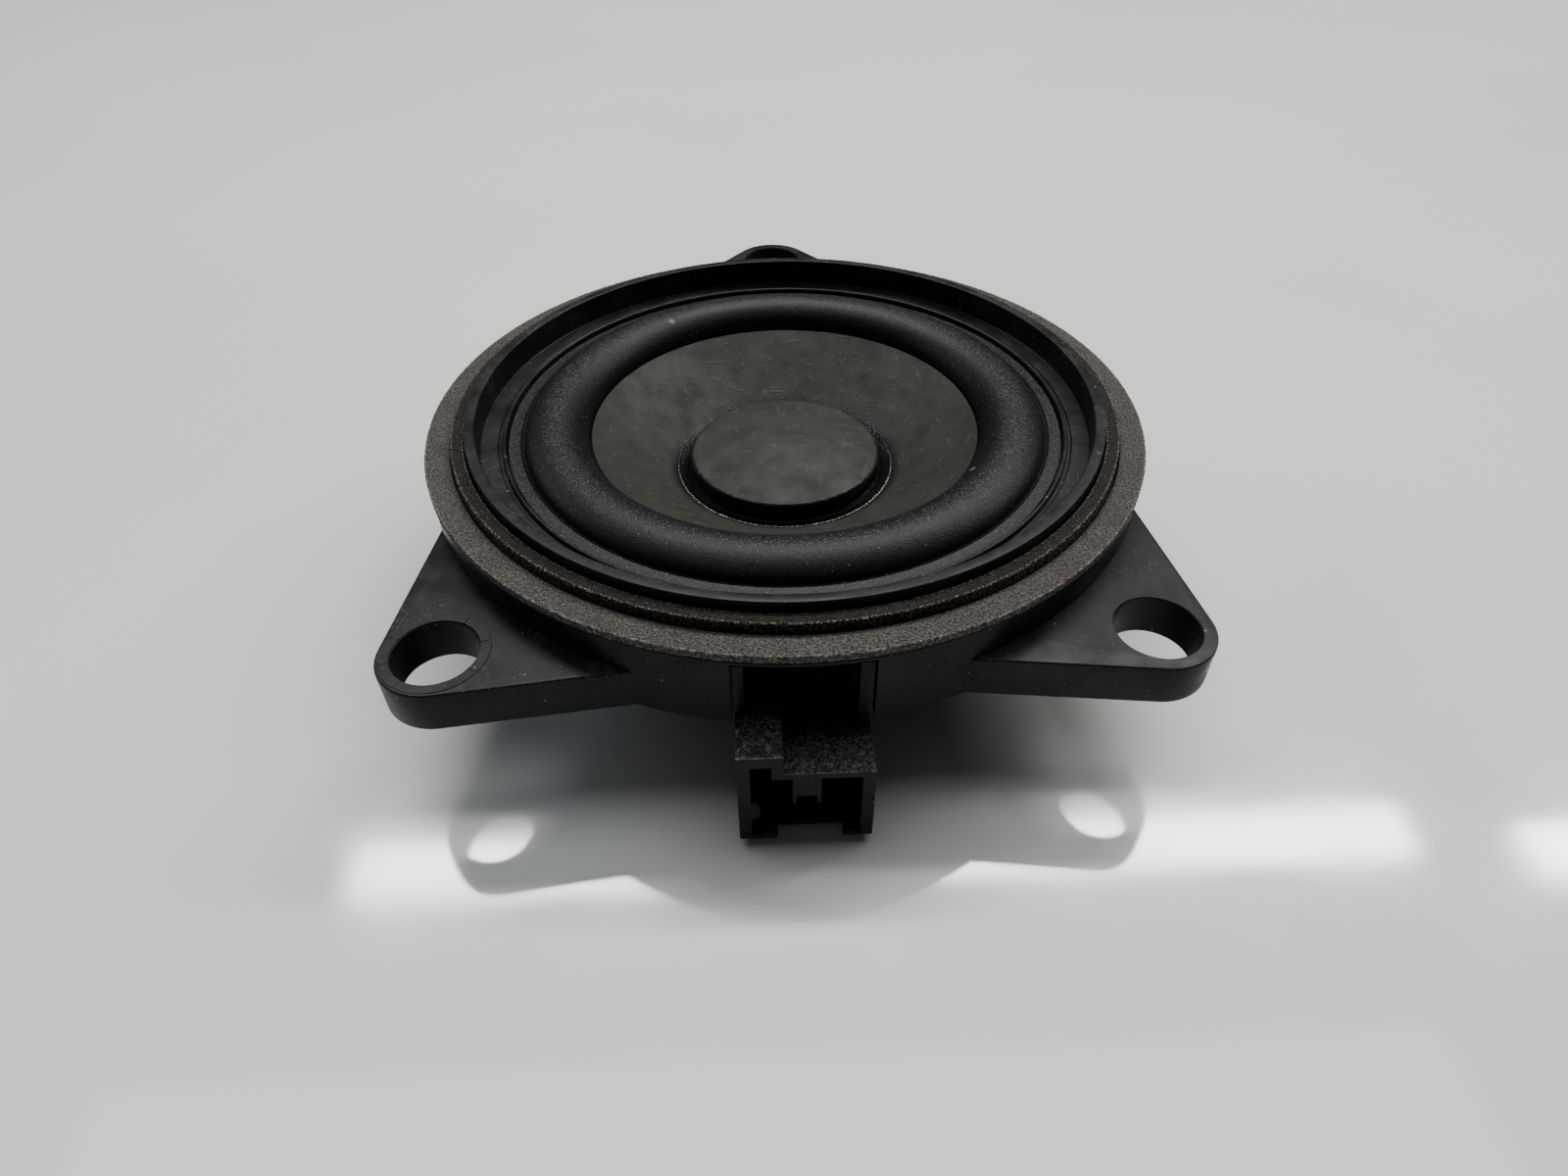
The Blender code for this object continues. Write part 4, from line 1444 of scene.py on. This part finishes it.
# --- motor --------------------------------------------------------------------------------
@dataclass
class Motor:
    """Steel cup, disc magnet, pole plate, and the voice coil between them."""

    yoke_r: Pair = (0.0141, 0.0174)
    base: float = 0.0028
    rim_z: float = 0.0086
    chamfer: float = 0.0008
    rounding: float = 0.00012
    mark_r: Pair = (0.0008, 0.0010)
    groove_r: tuple[float, float, float, float] = (0.0098, 0.0100, 0.0103, 0.0105)
    magnet: Triple = (0.0112, 0.0031, 0.0057)
    plate: Triple = (0.0119, 0.0060, 0.0086)
    former: Pair = (0.0125, 0.01275)
    former_z: Pair = (0.0051, 0.0153)
    winding_r: Pair = (0.01285, 0.01345)
    winding_z: Pair = (0.0054, 0.0092)
    turns: int = 15
    pad_angle: float = 13.0
    pad_low: Triple = (0.01305, -0.0013, 0.0124)
    pad_high: Triple = (0.01345, 0.0013, 0.0138)

    def disc(self, name: str, radius: float, low: float, high: float) -> Piece:
        """Turn a disc with rounded edges.

        Args:
            name: The piece's name.
            radius: Its radius.
            low: Its underside.
            high: Its top.

        Returns:
            The disc.
        """
        soft = self.rounding
        outline = [(0, low), (radius - soft, low), (radius, low + soft), (radius, high - soft),
                   (radius - soft, high), (0, high)]
        return turn(name, outline, 128)

    def cup(self) -> Piece:
        """Turn the cup, with a shallow centre mark and a groove in its back.

        Returns:
            The cup.
        """
        inner, outer = self.yoke_r
        soft, cut = self.rounding, 0.00015
        mark_in, mark_out = self.mark_r
        groove, floor_in, floor_out, groove_end = self.groove_r
        outline = [
            (0, cut), (mark_in, cut), (mark_out, 0),
            (groove, 0), (floor_in, cut), (floor_out, cut), (groove_end, 0),
            (outer - self.chamfer - soft, 0), (outer - self.chamfer, soft / 2),
            (outer - soft / 2, self.chamfer),
            (outer, self.chamfer + soft), (outer, self.rim_z - soft), (outer - soft, self.rim_z),
            (inner + soft, self.rim_z), (inner, self.rim_z - soft), (inner, self.base), (0, self.base),
        ]
        return turn("turned_yoke", outline, 256)

    def winding(self) -> Piece:
        """Turn the coil, with one ring-shaped ridge for each turn of its wire.

        Returns:
            The coil.
        """
        inner, outer = self.winding_r
        low, high = self.winding_z
        pitch = (high - low) / self.turns
        ridges = []
        for i in range(self.turns):
            ridges += arc((outer - pitch / 2, low + pitch * (i + 0.5)), pitch / 2, -75, 75, 4)
        return turn("wound_coil", [(inner, low), *ridges, (inner, high)], 160)

    def build(self, steel: Material, nickel: Material, film: Material,
              copper: Material, foil: Material) -> None:
        """Make the motor and dress each piece.

        Args:
            steel: The cup's and the plate's finish.
            nickel: The magnet's finish.
            film: The former's finish.
            copper: The winding's finish.
            foil: The solder pads' finish.
        """
        inner, outer = self.former
        low, high = self.former_z
        tube = turn("film_former", [(inner, low), (outer, low), (outer, high), (inner, high)], 160)
        dress(self.cup(), steel, "yoke_steel", FIXED, ["yoke_cup"])
        dress(self.disc("magnet", *self.magnet), nickel, "magnet_nickel", FIXED, ["magnet_disc"])
        dress(self.disc("front_plate", *self.plate), steel, "plate_steel", FIXED, ["pole_plate"])
        dress(tube, film, "former_film", MOVING, ["voice_coil_former"])
        dress(self.winding(), copper, "winding_copper", MOVING, ["voice_coil_winding"])
        pad = soften(block("foil_pad", self.pad_low, self.pad_high), self.rounding)
        for side, turned in (("left", -self.pad_angle), ("right", self.pad_angle)):
            foil_pad = copy_round(pad, turned - 90)
            foil_pad.name = f"foil_pad_{side}"
            dress(foil_pad, foil, "pad_copper", MOVING, [f"coil_pad_{side}"])
        bpy.data.objects.remove(pad, do_unlink=True)


# --- connector ----------------------------------------------------------------------------
@dataclass
class Socket:
    """Two-step plug socket with keyway, hanging tab and rib, its pins and the leads behind it."""

    x: Pair = (-0.00805, 0.0082)
    mouth_y: float = -0.0580
    depth: float = 0.0134
    low: float = 0.0014
    high: float = 0.0170
    step_z: float = 0.0139
    step_x: float = -0.00255
    wall: float = 0.00155
    back: float = 0.0012
    key_x: float = -0.0040
    key_z: float = 0.01525
    roof_z: float = 0.0130
    floor_z: float = 0.0021
    notch_x: Pair = (-0.0034, 0.0046)
    notch_y: float = 0.0019
    tab_x: Pair = (-0.00155, 0.0018)
    tab_h: float = 0.0032
    tab_foot: Pair = (0.00045, 0.0014)
    rib_z: Pair = (0.0055, 0.0086)
    rib_l: float = 0.0017
    rail_w: Pair = (0.00125, 0.0017)
    rail_t: float = 0.0025
    rail_y: float = -0.051147
    rail_top: float = 0.0249
    panel: Pair = (0.0008, 0.0002)
    panel_top: float = 0.0225
    chip: tuple[Pair, ...] = (
        (0.00042, 0.0080), (0.00030, 0.0088), (0.00046, 0.0094), (0.00022, 0.0100),
        (-GAP, 0.0099), (-GAP, 0.0079))
    rounding: float = 0.00014
    pin_x: Pair = (-0.0030, 0.0036)
    pin_w: float = 0.0015
    pin_t: float = 0.0006
    pin_z: float = 0.0070
    pin_tip: float = -0.0528
    bend_r: float = 0.0009
    tag_y: float = -0.0437
    tag_top: float = 0.0128
    lead_r: float = 0.00045
    lead_rise: float = 0.0032
    lead_end: Pair = (0.01375, 0.0131)
    lead_steps: int = 42
    strands: int = 6
    strand_share: float = 0.42
    steps_per_twist: int = 14
    pad_angle: float = 13.0
    solder_r: Pair = (0.0006, 0.0005)

    def cavity(self) -> Piece:
        """Build the cutter for the plug's space.

        Returns:
            The cutter.
        """
        left, right = self.x[0] + self.wall, self.x[1] - self.wall
        tab_z = self.roof_z - self.tab_h
        foot_w, foot_h = self.tab_foot
        tab_left, tab_right = self.tab_x
        rib_low, rib_high = self.rib_z
        rib_r = (rib_high - rib_low) / 2
        nose = arc((0, rib_low + rib_r), rib_r, 90, -90, 14)
        rib = [(left + self.rib_l - rib_r + p.x * 0.6, p.y) for p in nose]
        outline = [
            (left, self.floor_z), (right, self.floor_z), (right, self.roof_z), (tab_right, self.roof_z),
            (tab_right, tab_z - foot_h), (tab_right - foot_w, tab_z - foot_h), (tab_right - foot_w, tab_z),
            (tab_left + foot_w, tab_z), (tab_left + foot_w, tab_z - foot_h), (tab_left, tab_z - foot_h),
            (tab_left, self.roof_z), (self.key_x, self.roof_z), (self.key_x, self.key_z),
            (left, self.key_z), (left, rib_high), *rib, (left, rib_low),
        ]
        start = self.mouth_y - 0.002
        points = [(x, start, z) for x, z in outline]
        return extrude("cavity", points, (0, self.depth - self.back + 0.002, 0))

    def slots(self) -> list[Piece]:
        """Build the cutters for the floor notch, the two pin slots and the chipped corner.

        Returns:
            The cutters.
        """
        over = 0.002
        cuts = [block("notch", (self.notch_x[0], self.mouth_y - over, self.low - over),
                      (self.notch_x[1], self.mouth_y + self.notch_y, self.floor_z + GAP))]
        back_y = self.mouth_y + self.depth
        for x in self.pin_x:
            cuts.append(block(
                "pin_slot", (x - self.pin_w / 2 - GAP, back_y - self.back - GAP, self.pin_z - GAP),
                (x + self.pin_w / 2 + GAP, back_y + over, self.pin_z + self.pin_t + GAP)))
        right, front = self.x[1], self.mouth_y - GAP
        chip = [(right - bite, front, z) for bite, z in self.chip]
        cuts.append(extrude("chip", chip, (0, 0.0008, 0)))
        return cuts

    def housing(self) -> Piece:
        """Build the socket's body with its rails.

        Returns:
            The housing.
        """
        x0, x1 = self.x
        outline = [(x0, self.low), (x1, self.low), (x1, self.step_z), (self.step_x, self.step_z),
                   (self.step_x, self.high), (x0, self.high)]
        points = [(x, self.mouth_y, z) for x, z in outline]
        body = soften(extrude("socket_housing", points, (0, self.depth, 0)), self.rounding, 3)
        left_w, right_w = self.rail_w
        back_y = self.rail_y + self.rail_t
        rails = [block("rail", (x0, self.rail_y, self.high - 0.0008),
                       (x0 + left_w, back_y, self.rail_top)),
                 block("rail", (x1 - right_w, self.rail_y, self.step_z - 0.0004),
                       (x1, back_y, self.rail_top))]
        thick, inset = self.panel
        panel_y = self.mouth_y + self.depth - inset
        rails.append(block("panel", (x0 + inset, panel_y - thick, self.step_z - 0.0004),
                           (x1 - inset, panel_y, self.panel_top)))
        for rail in rails:
            fuse(body, soften(rail, self.rounding), Fuse.JOIN)
        fuse(body, self.cavity(), Fuse.CUT)
        for cutter in self.slots():
            fuse(body, cutter, Fuse.CUT)
        return body

    def pin(self, name: str, x: float) -> Piece:
        """Build one blade with its tip chamfered and its tail bent up into a tag.

        Args:
            name: The piece's name.
            x: Its middle.

        Returns:
            The pin.
        """
        z, t, tip = self.pin_z, self.pin_t, self.pin_tip
        chamfer = t / 3
        back = self.tag_y
        middle = (back - self.bend_r, z + self.bend_r)
        bend = arc(middle, self.bend_r, -90, 0, 6)
        heel = arc(middle, self.bend_r - t, 0, -90, 4)
        side = [(tip + 2 * chamfer, z), *bend, (back, self.tag_top), (back - t, self.tag_top), *heel,
                (tip + 2 * chamfer, z + t), (tip, z + t - chamfer), (tip, z + chamfer)]
        blade = extrude(name, [(x - self.pin_w / 2, y, height) for y, height in side], (self.pin_w, 0, 0))
        return soften(blade, 0.00007)

    def lead_path(self, x: float, turned: float) -> list[Vector]:
        """Points from a solder tag, over the spider, to a pad on the former.

        Args:
            x: The tag's middle.
            turned: The pad's angle from the socket's direction.

        Returns:
            The points in order.
        """
        start = Vector((x, self.tag_y + GAP, self.tag_top - self.lead_r))
        heading = math.radians(turned - 90)
        end_r, end_z = self.lead_end
        end = Vector((end_r * math.cos(heading), end_r * math.sin(heading), end_z))
        points = []
        for i in range(self.lead_steps + 1):
            share = i / self.lead_steps
            point = start.lerp(end, share)
            point.z += self.lead_rise * (1 - math.cos(math.tau * share)) / 2
            points.append(point)
        return points

    def lead(self, name: str, x: float, turned: float) -> Piece:
        """Twist the strands of one lead round its path.

        Args:
            name: The piece's name.
            x: The tag's middle.
            turned: The pad's angle from the socket's direction.

        Returns:
            The lead.
        """
        path = self.lead_path(x, turned)
        radius = self.lead_r * self.strand_share
        strands = []
        for number in range(self.strands):
            points = []
            for i, point in enumerate(path):
                along = (path[min(i + 1, self.lead_steps)] - path[max(i - 1, 0)]).normalized()
                across = along.cross(Vector((1, 0, 0))).normalized()
                angle = math.tau * (number / self.strands + i / self.steps_per_twist)
                points.append(point + Matrix.Rotation(angle, 3, along) @ across * (self.lead_r - radius))
            strands.append(thread(f"strand_{number}", points, radius, 1))
        return gather(strands, name)

    def solder(self, name: str, at: Vector, radius: float) -> Piece:
        """Turn a blob of solder with a concave foot and set it on its joint.

        Args:
            name: The piece's name.
            at: Its middle.
            radius: Its radius at the foot.

        Returns:
            The blob.
        """
        tall = radius * 0.8
        outline = [(0, -tall / 3), (radius, -tall / 3), (radius * 0.96, 0), (radius * 0.78, tall * 0.45),
                   (radius * 0.5, tall * 0.82), (radius * 0.22, tall * 0.97), (0, tall)]
        blob = turn(name, outline, 40)
        blob.matrix_world = Matrix.Translation(at)
        return settle(blob, name)

    def build(self, plastic: Material, tin: Material, braid: Material,
              alloy: Material) -> None:
        """Make the socket, its pins, leads and solder joints, and dress them.

        Args:
            plastic: The housing's finish.
            tin: The pins' finish.
            braid: The leads' finish.
            alloy: The solder's finish.
        """
        dress(self.housing(), plastic, "connector_plastic", FIXED, ["connector_housing"])
        sides = zip(("left", "right"), self.pin_x, (-self.pad_angle, self.pad_angle))
        tag_r, pad_r = self.solder_r
        for side, x, turned in sides:
            dress(self.pin(f"pin_{side}", x), tin, "pin_tin", FIXED, [f"terminal_pin_{side}"])
            lead = self.lead(f"braided_lead_{side}", x, turned)
            dress(lead, braid, "lead_braid", None, [f"tinsel_lead_{side}"])
            path = self.lead_path(x, turned)
            start, end = path[0], path[-1]
            stretch_between(lead, lambda co: ease(co.y, start.y, end.y))
            tag_at = Vector((x, self.tag_y - self.pin_t / 2, self.tag_top))
            tag = self.solder(f"tag_solder_{side}", tag_at, tag_r)
            dress(tag, alloy, "pin_tin", FIXED)
            joint = self.solder(f"pad_solder_{side}", Vector((*end.xy, end.z + GAP)), pad_r)
            dress(joint, alloy, "pad_copper", MOVING)


# --- table, light and camera --------------------------------------------------------------
@dataclass
class Studio:
    """Pale glossy table, dim room, four soft lamps and the camera."""

    lens: float = 22.5
    eye: Triple = (-0.00466, -0.12672, 0.10493)
    heading: float = -1.95
    dip: float = 42.12
    roll: float = -0.633
    table_side: float = 3.0
    sky: Triple = (0.82, 0.83, 0.84)
    sky_strength: float = 0.085
    wall: Triple = (0.80, 0.81, 0.81)

    def camera(self) -> None:
        """Set the camera at its place."""
        data = bpy.data.cameras.new("camera")
        data.lens = self.lens
        data.sensor_width = 36.0
        data.clip_start = 0.005
        camera = bpy.data.objects.new("camera", data)
        bpy.context.scene.collection.objects.link(camera)
        turned = Matrix.Rotation(math.radians(self.heading), 4, "Z")
        dipped = Matrix.Rotation(math.radians(90 - self.dip), 4, "X")
        rolled = Matrix.Rotation(math.radians(self.roll), 4, "Z")
        camera.matrix_world = Matrix.Translation(self.eye) @ turned @ dipped @ rolled
        bpy.context.scene.camera = camera

    def lamp(self, name: str, place: Point, aim: Point, sides: Point,
             power: float, colour: Point) -> None:
        """Hang a rectangular lamp.

        Args:
            name: Its name.
            place: Where it hangs.
            aim: The point that it faces.
            sides: Its width and height.
            power: Its power in watts.
            colour: Its colour.
        """
        data = bpy.data.lights.new(name, "AREA")
        data.shape = "RECTANGLE"
        data.size, data.size_y = sides
        data.energy = power
        data.color = colour
        lamp = bpy.data.objects.new(name, data)
        bpy.context.scene.collection.objects.link(lamp)
        towards = Vector(aim) - Vector(place)
        lamp.matrix_world = Matrix.Translation(place) @ towards.to_track_quat("-Z", "Y").to_matrix().to_4x4()

    def table(self) -> None:
        """Lay the table top, with softened edges."""
        half = self.table_side / 2
        top = soften(block("table", (-half, -half, -0.03), (half, half, 0.0)), 0.004)
        top.data.materials.append(TableTop().build("laminate"))

    def room(self) -> None:
        """Fill the room with dim even light, and show the camera a pale wall past the table."""
        world = bpy.data.worlds.new("soft_room")
        world.use_nodes = True
        tree = world.node_tree
        dim = tree.nodes["Background"]
        dim.inputs["Color"].default_value = (*self.sky, 1.0)
        dim.inputs["Strength"].default_value = self.sky_strength
        wall = tree.nodes.new("ShaderNodeBackground")
        wall.inputs["Color"].default_value = (*self.wall, 1.0)
        path = tree.nodes.new("ShaderNodeLightPath")
        mix = tree.nodes.new("ShaderNodeMixShader")
        tree.links.new(path.outputs["Is Camera Ray"], mix.inputs["Fac"])
        tree.links.new(dim.outputs[0], mix.inputs[1])
        tree.links.new(wall.outputs[0], mix.inputs[2])
        tree.links.new(mix.outputs[0], tree.nodes["World Output"].inputs["Surface"])
        bpy.context.scene.world = world

    def build(self) -> None:
        """Set up the table, the room and the lamps."""
        self.table()
        self.room()
        white = (1.0, 0.97, 0.93)
        self.lamp("long_lamp", place=(0.185, 0.745, 1.26), aim=(0.185, 0.745, 0),
                  sides=(1.69, 0.095), power=38.0, colour=white)
        self.lamp("second_lamp", place=(1.8, 0.70, 1.26), aim=(1.8, 0.70, 0),
                  sides=(1.2, 0.095), power=26.0, colour=white)
        self.lamp("ceiling", place=(0, 0.26, 1.7), aim=(0, 0.26, 0),
                  sides=(2.4, 0.7), power=14.5, colour=(0.96, 0.98, 1.0))
        self.lamp("window", place=(-1.5, 0.7, 0.8), aim=(0, 0, 0.02),
                  sides=(0.7, 0.6), power=5.0, colour=(0.80, 0.89, 1.0))


# --- assembly -----------------------------------------------------------------------------
def main() -> None:
    """Build the loudspeaker from its sub-assemblies."""
    logging.basicConfig(level=logging.INFO, format="%(name)s: %(message)s")
    studio = Studio()
    studio.camera()
    Basket().build(MouldedPlastic().build("basket_black"))
    outer = Foam(dark=(0.026, 0.0234, 0.0212), light=(0.106, 0.097, 0.088), pore=0.00029, depth=0.00015,
                 edges=(0.0519,)).build("outer_foam_grey")
    inner = Foam(dark=(0.0062, 0.0050, 0.0042), light=(0.026, 0.0215, 0.018), pore=0.00024,
                 depth=0.00014, edges=(0.0465, 0.0481)).build("inner_foam_brown")
    wide = Gasket("wide_gasket", r_in=0.0485, r_out=0.0520, low=0.0260, high=0.0270)
    wide.build(outer, "outer_foam", "outer_gasket")
    tall = Gasket("tall_gasket", r_in=0.0464, r_out=0.0482, low=0.0260, high=0.0284)
    tall.build(inner, "inner_foam", "inner_gasket")
    Lint().build(outer)
    diaphragm = Diaphragm()
    diaphragm.cone(PressedPulp().build("cone_pulp"))
    glue = MouldedRubber(colour=(0.010, 0.010, 0.010), bloom=(0.03, 0.03, 0.03), roughness=0.26, sheen=0.9)
    cap_pulp = PressedPulp(darkened_radii=(0.01385, 0.01425))
    diaphragm.cap(cap_pulp.build("cap_pulp"), glue.build("cap_adhesive"))
    diaphragm.surround(MouldedRubber().build("surround_black"))
    diaphragm.spider(WovenCloth().build("spider_weave"))
    copper = BareMetal(colour=(0.62, 0.27, 0.12), tarnish=(0.35, 0.13, 0.06), roughness=0.3, line=0.00025)
    foil = BareMetal(colour=(0.66, 0.36, 0.20), tarnish=(0.40, 0.20, 0.11), roughness=0.32)
    nickel = BareMetal(colour=(0.60, 0.58, 0.54), tarnish=(0.42, 0.38, 0.33), roughness=0.22, line=0.004)
    Motor().build(TurnedSteel().build("zinc_steel"), nickel.build("nickel"), AmberFilm().build("amber_film"),
                  copper.build("coil_copper"), foil.build("foil_copper"))
    tin = BareMetal(colour=(0.68, 0.67, 0.64), tarnish=(0.44, 0.42, 0.38), roughness=0.25)
    braid = BareMetal(colour=(0.60, 0.40, 0.22), tarnish=(0.30, 0.18, 0.10), roughness=0.4, line=0.0001)
    alloy = BareMetal(colour=(0.60, 0.61, 0.62), tarnish=(0.38, 0.38, 0.38), roughness=0.18, line=0.003)
    Socket().build(SparkTexture().build("socket_black"), tin.build("tin_plate"), braid.build("tinsel"),
                   alloy.build("solder"))
    studio.build()


if __name__ == "__main__":
    main()
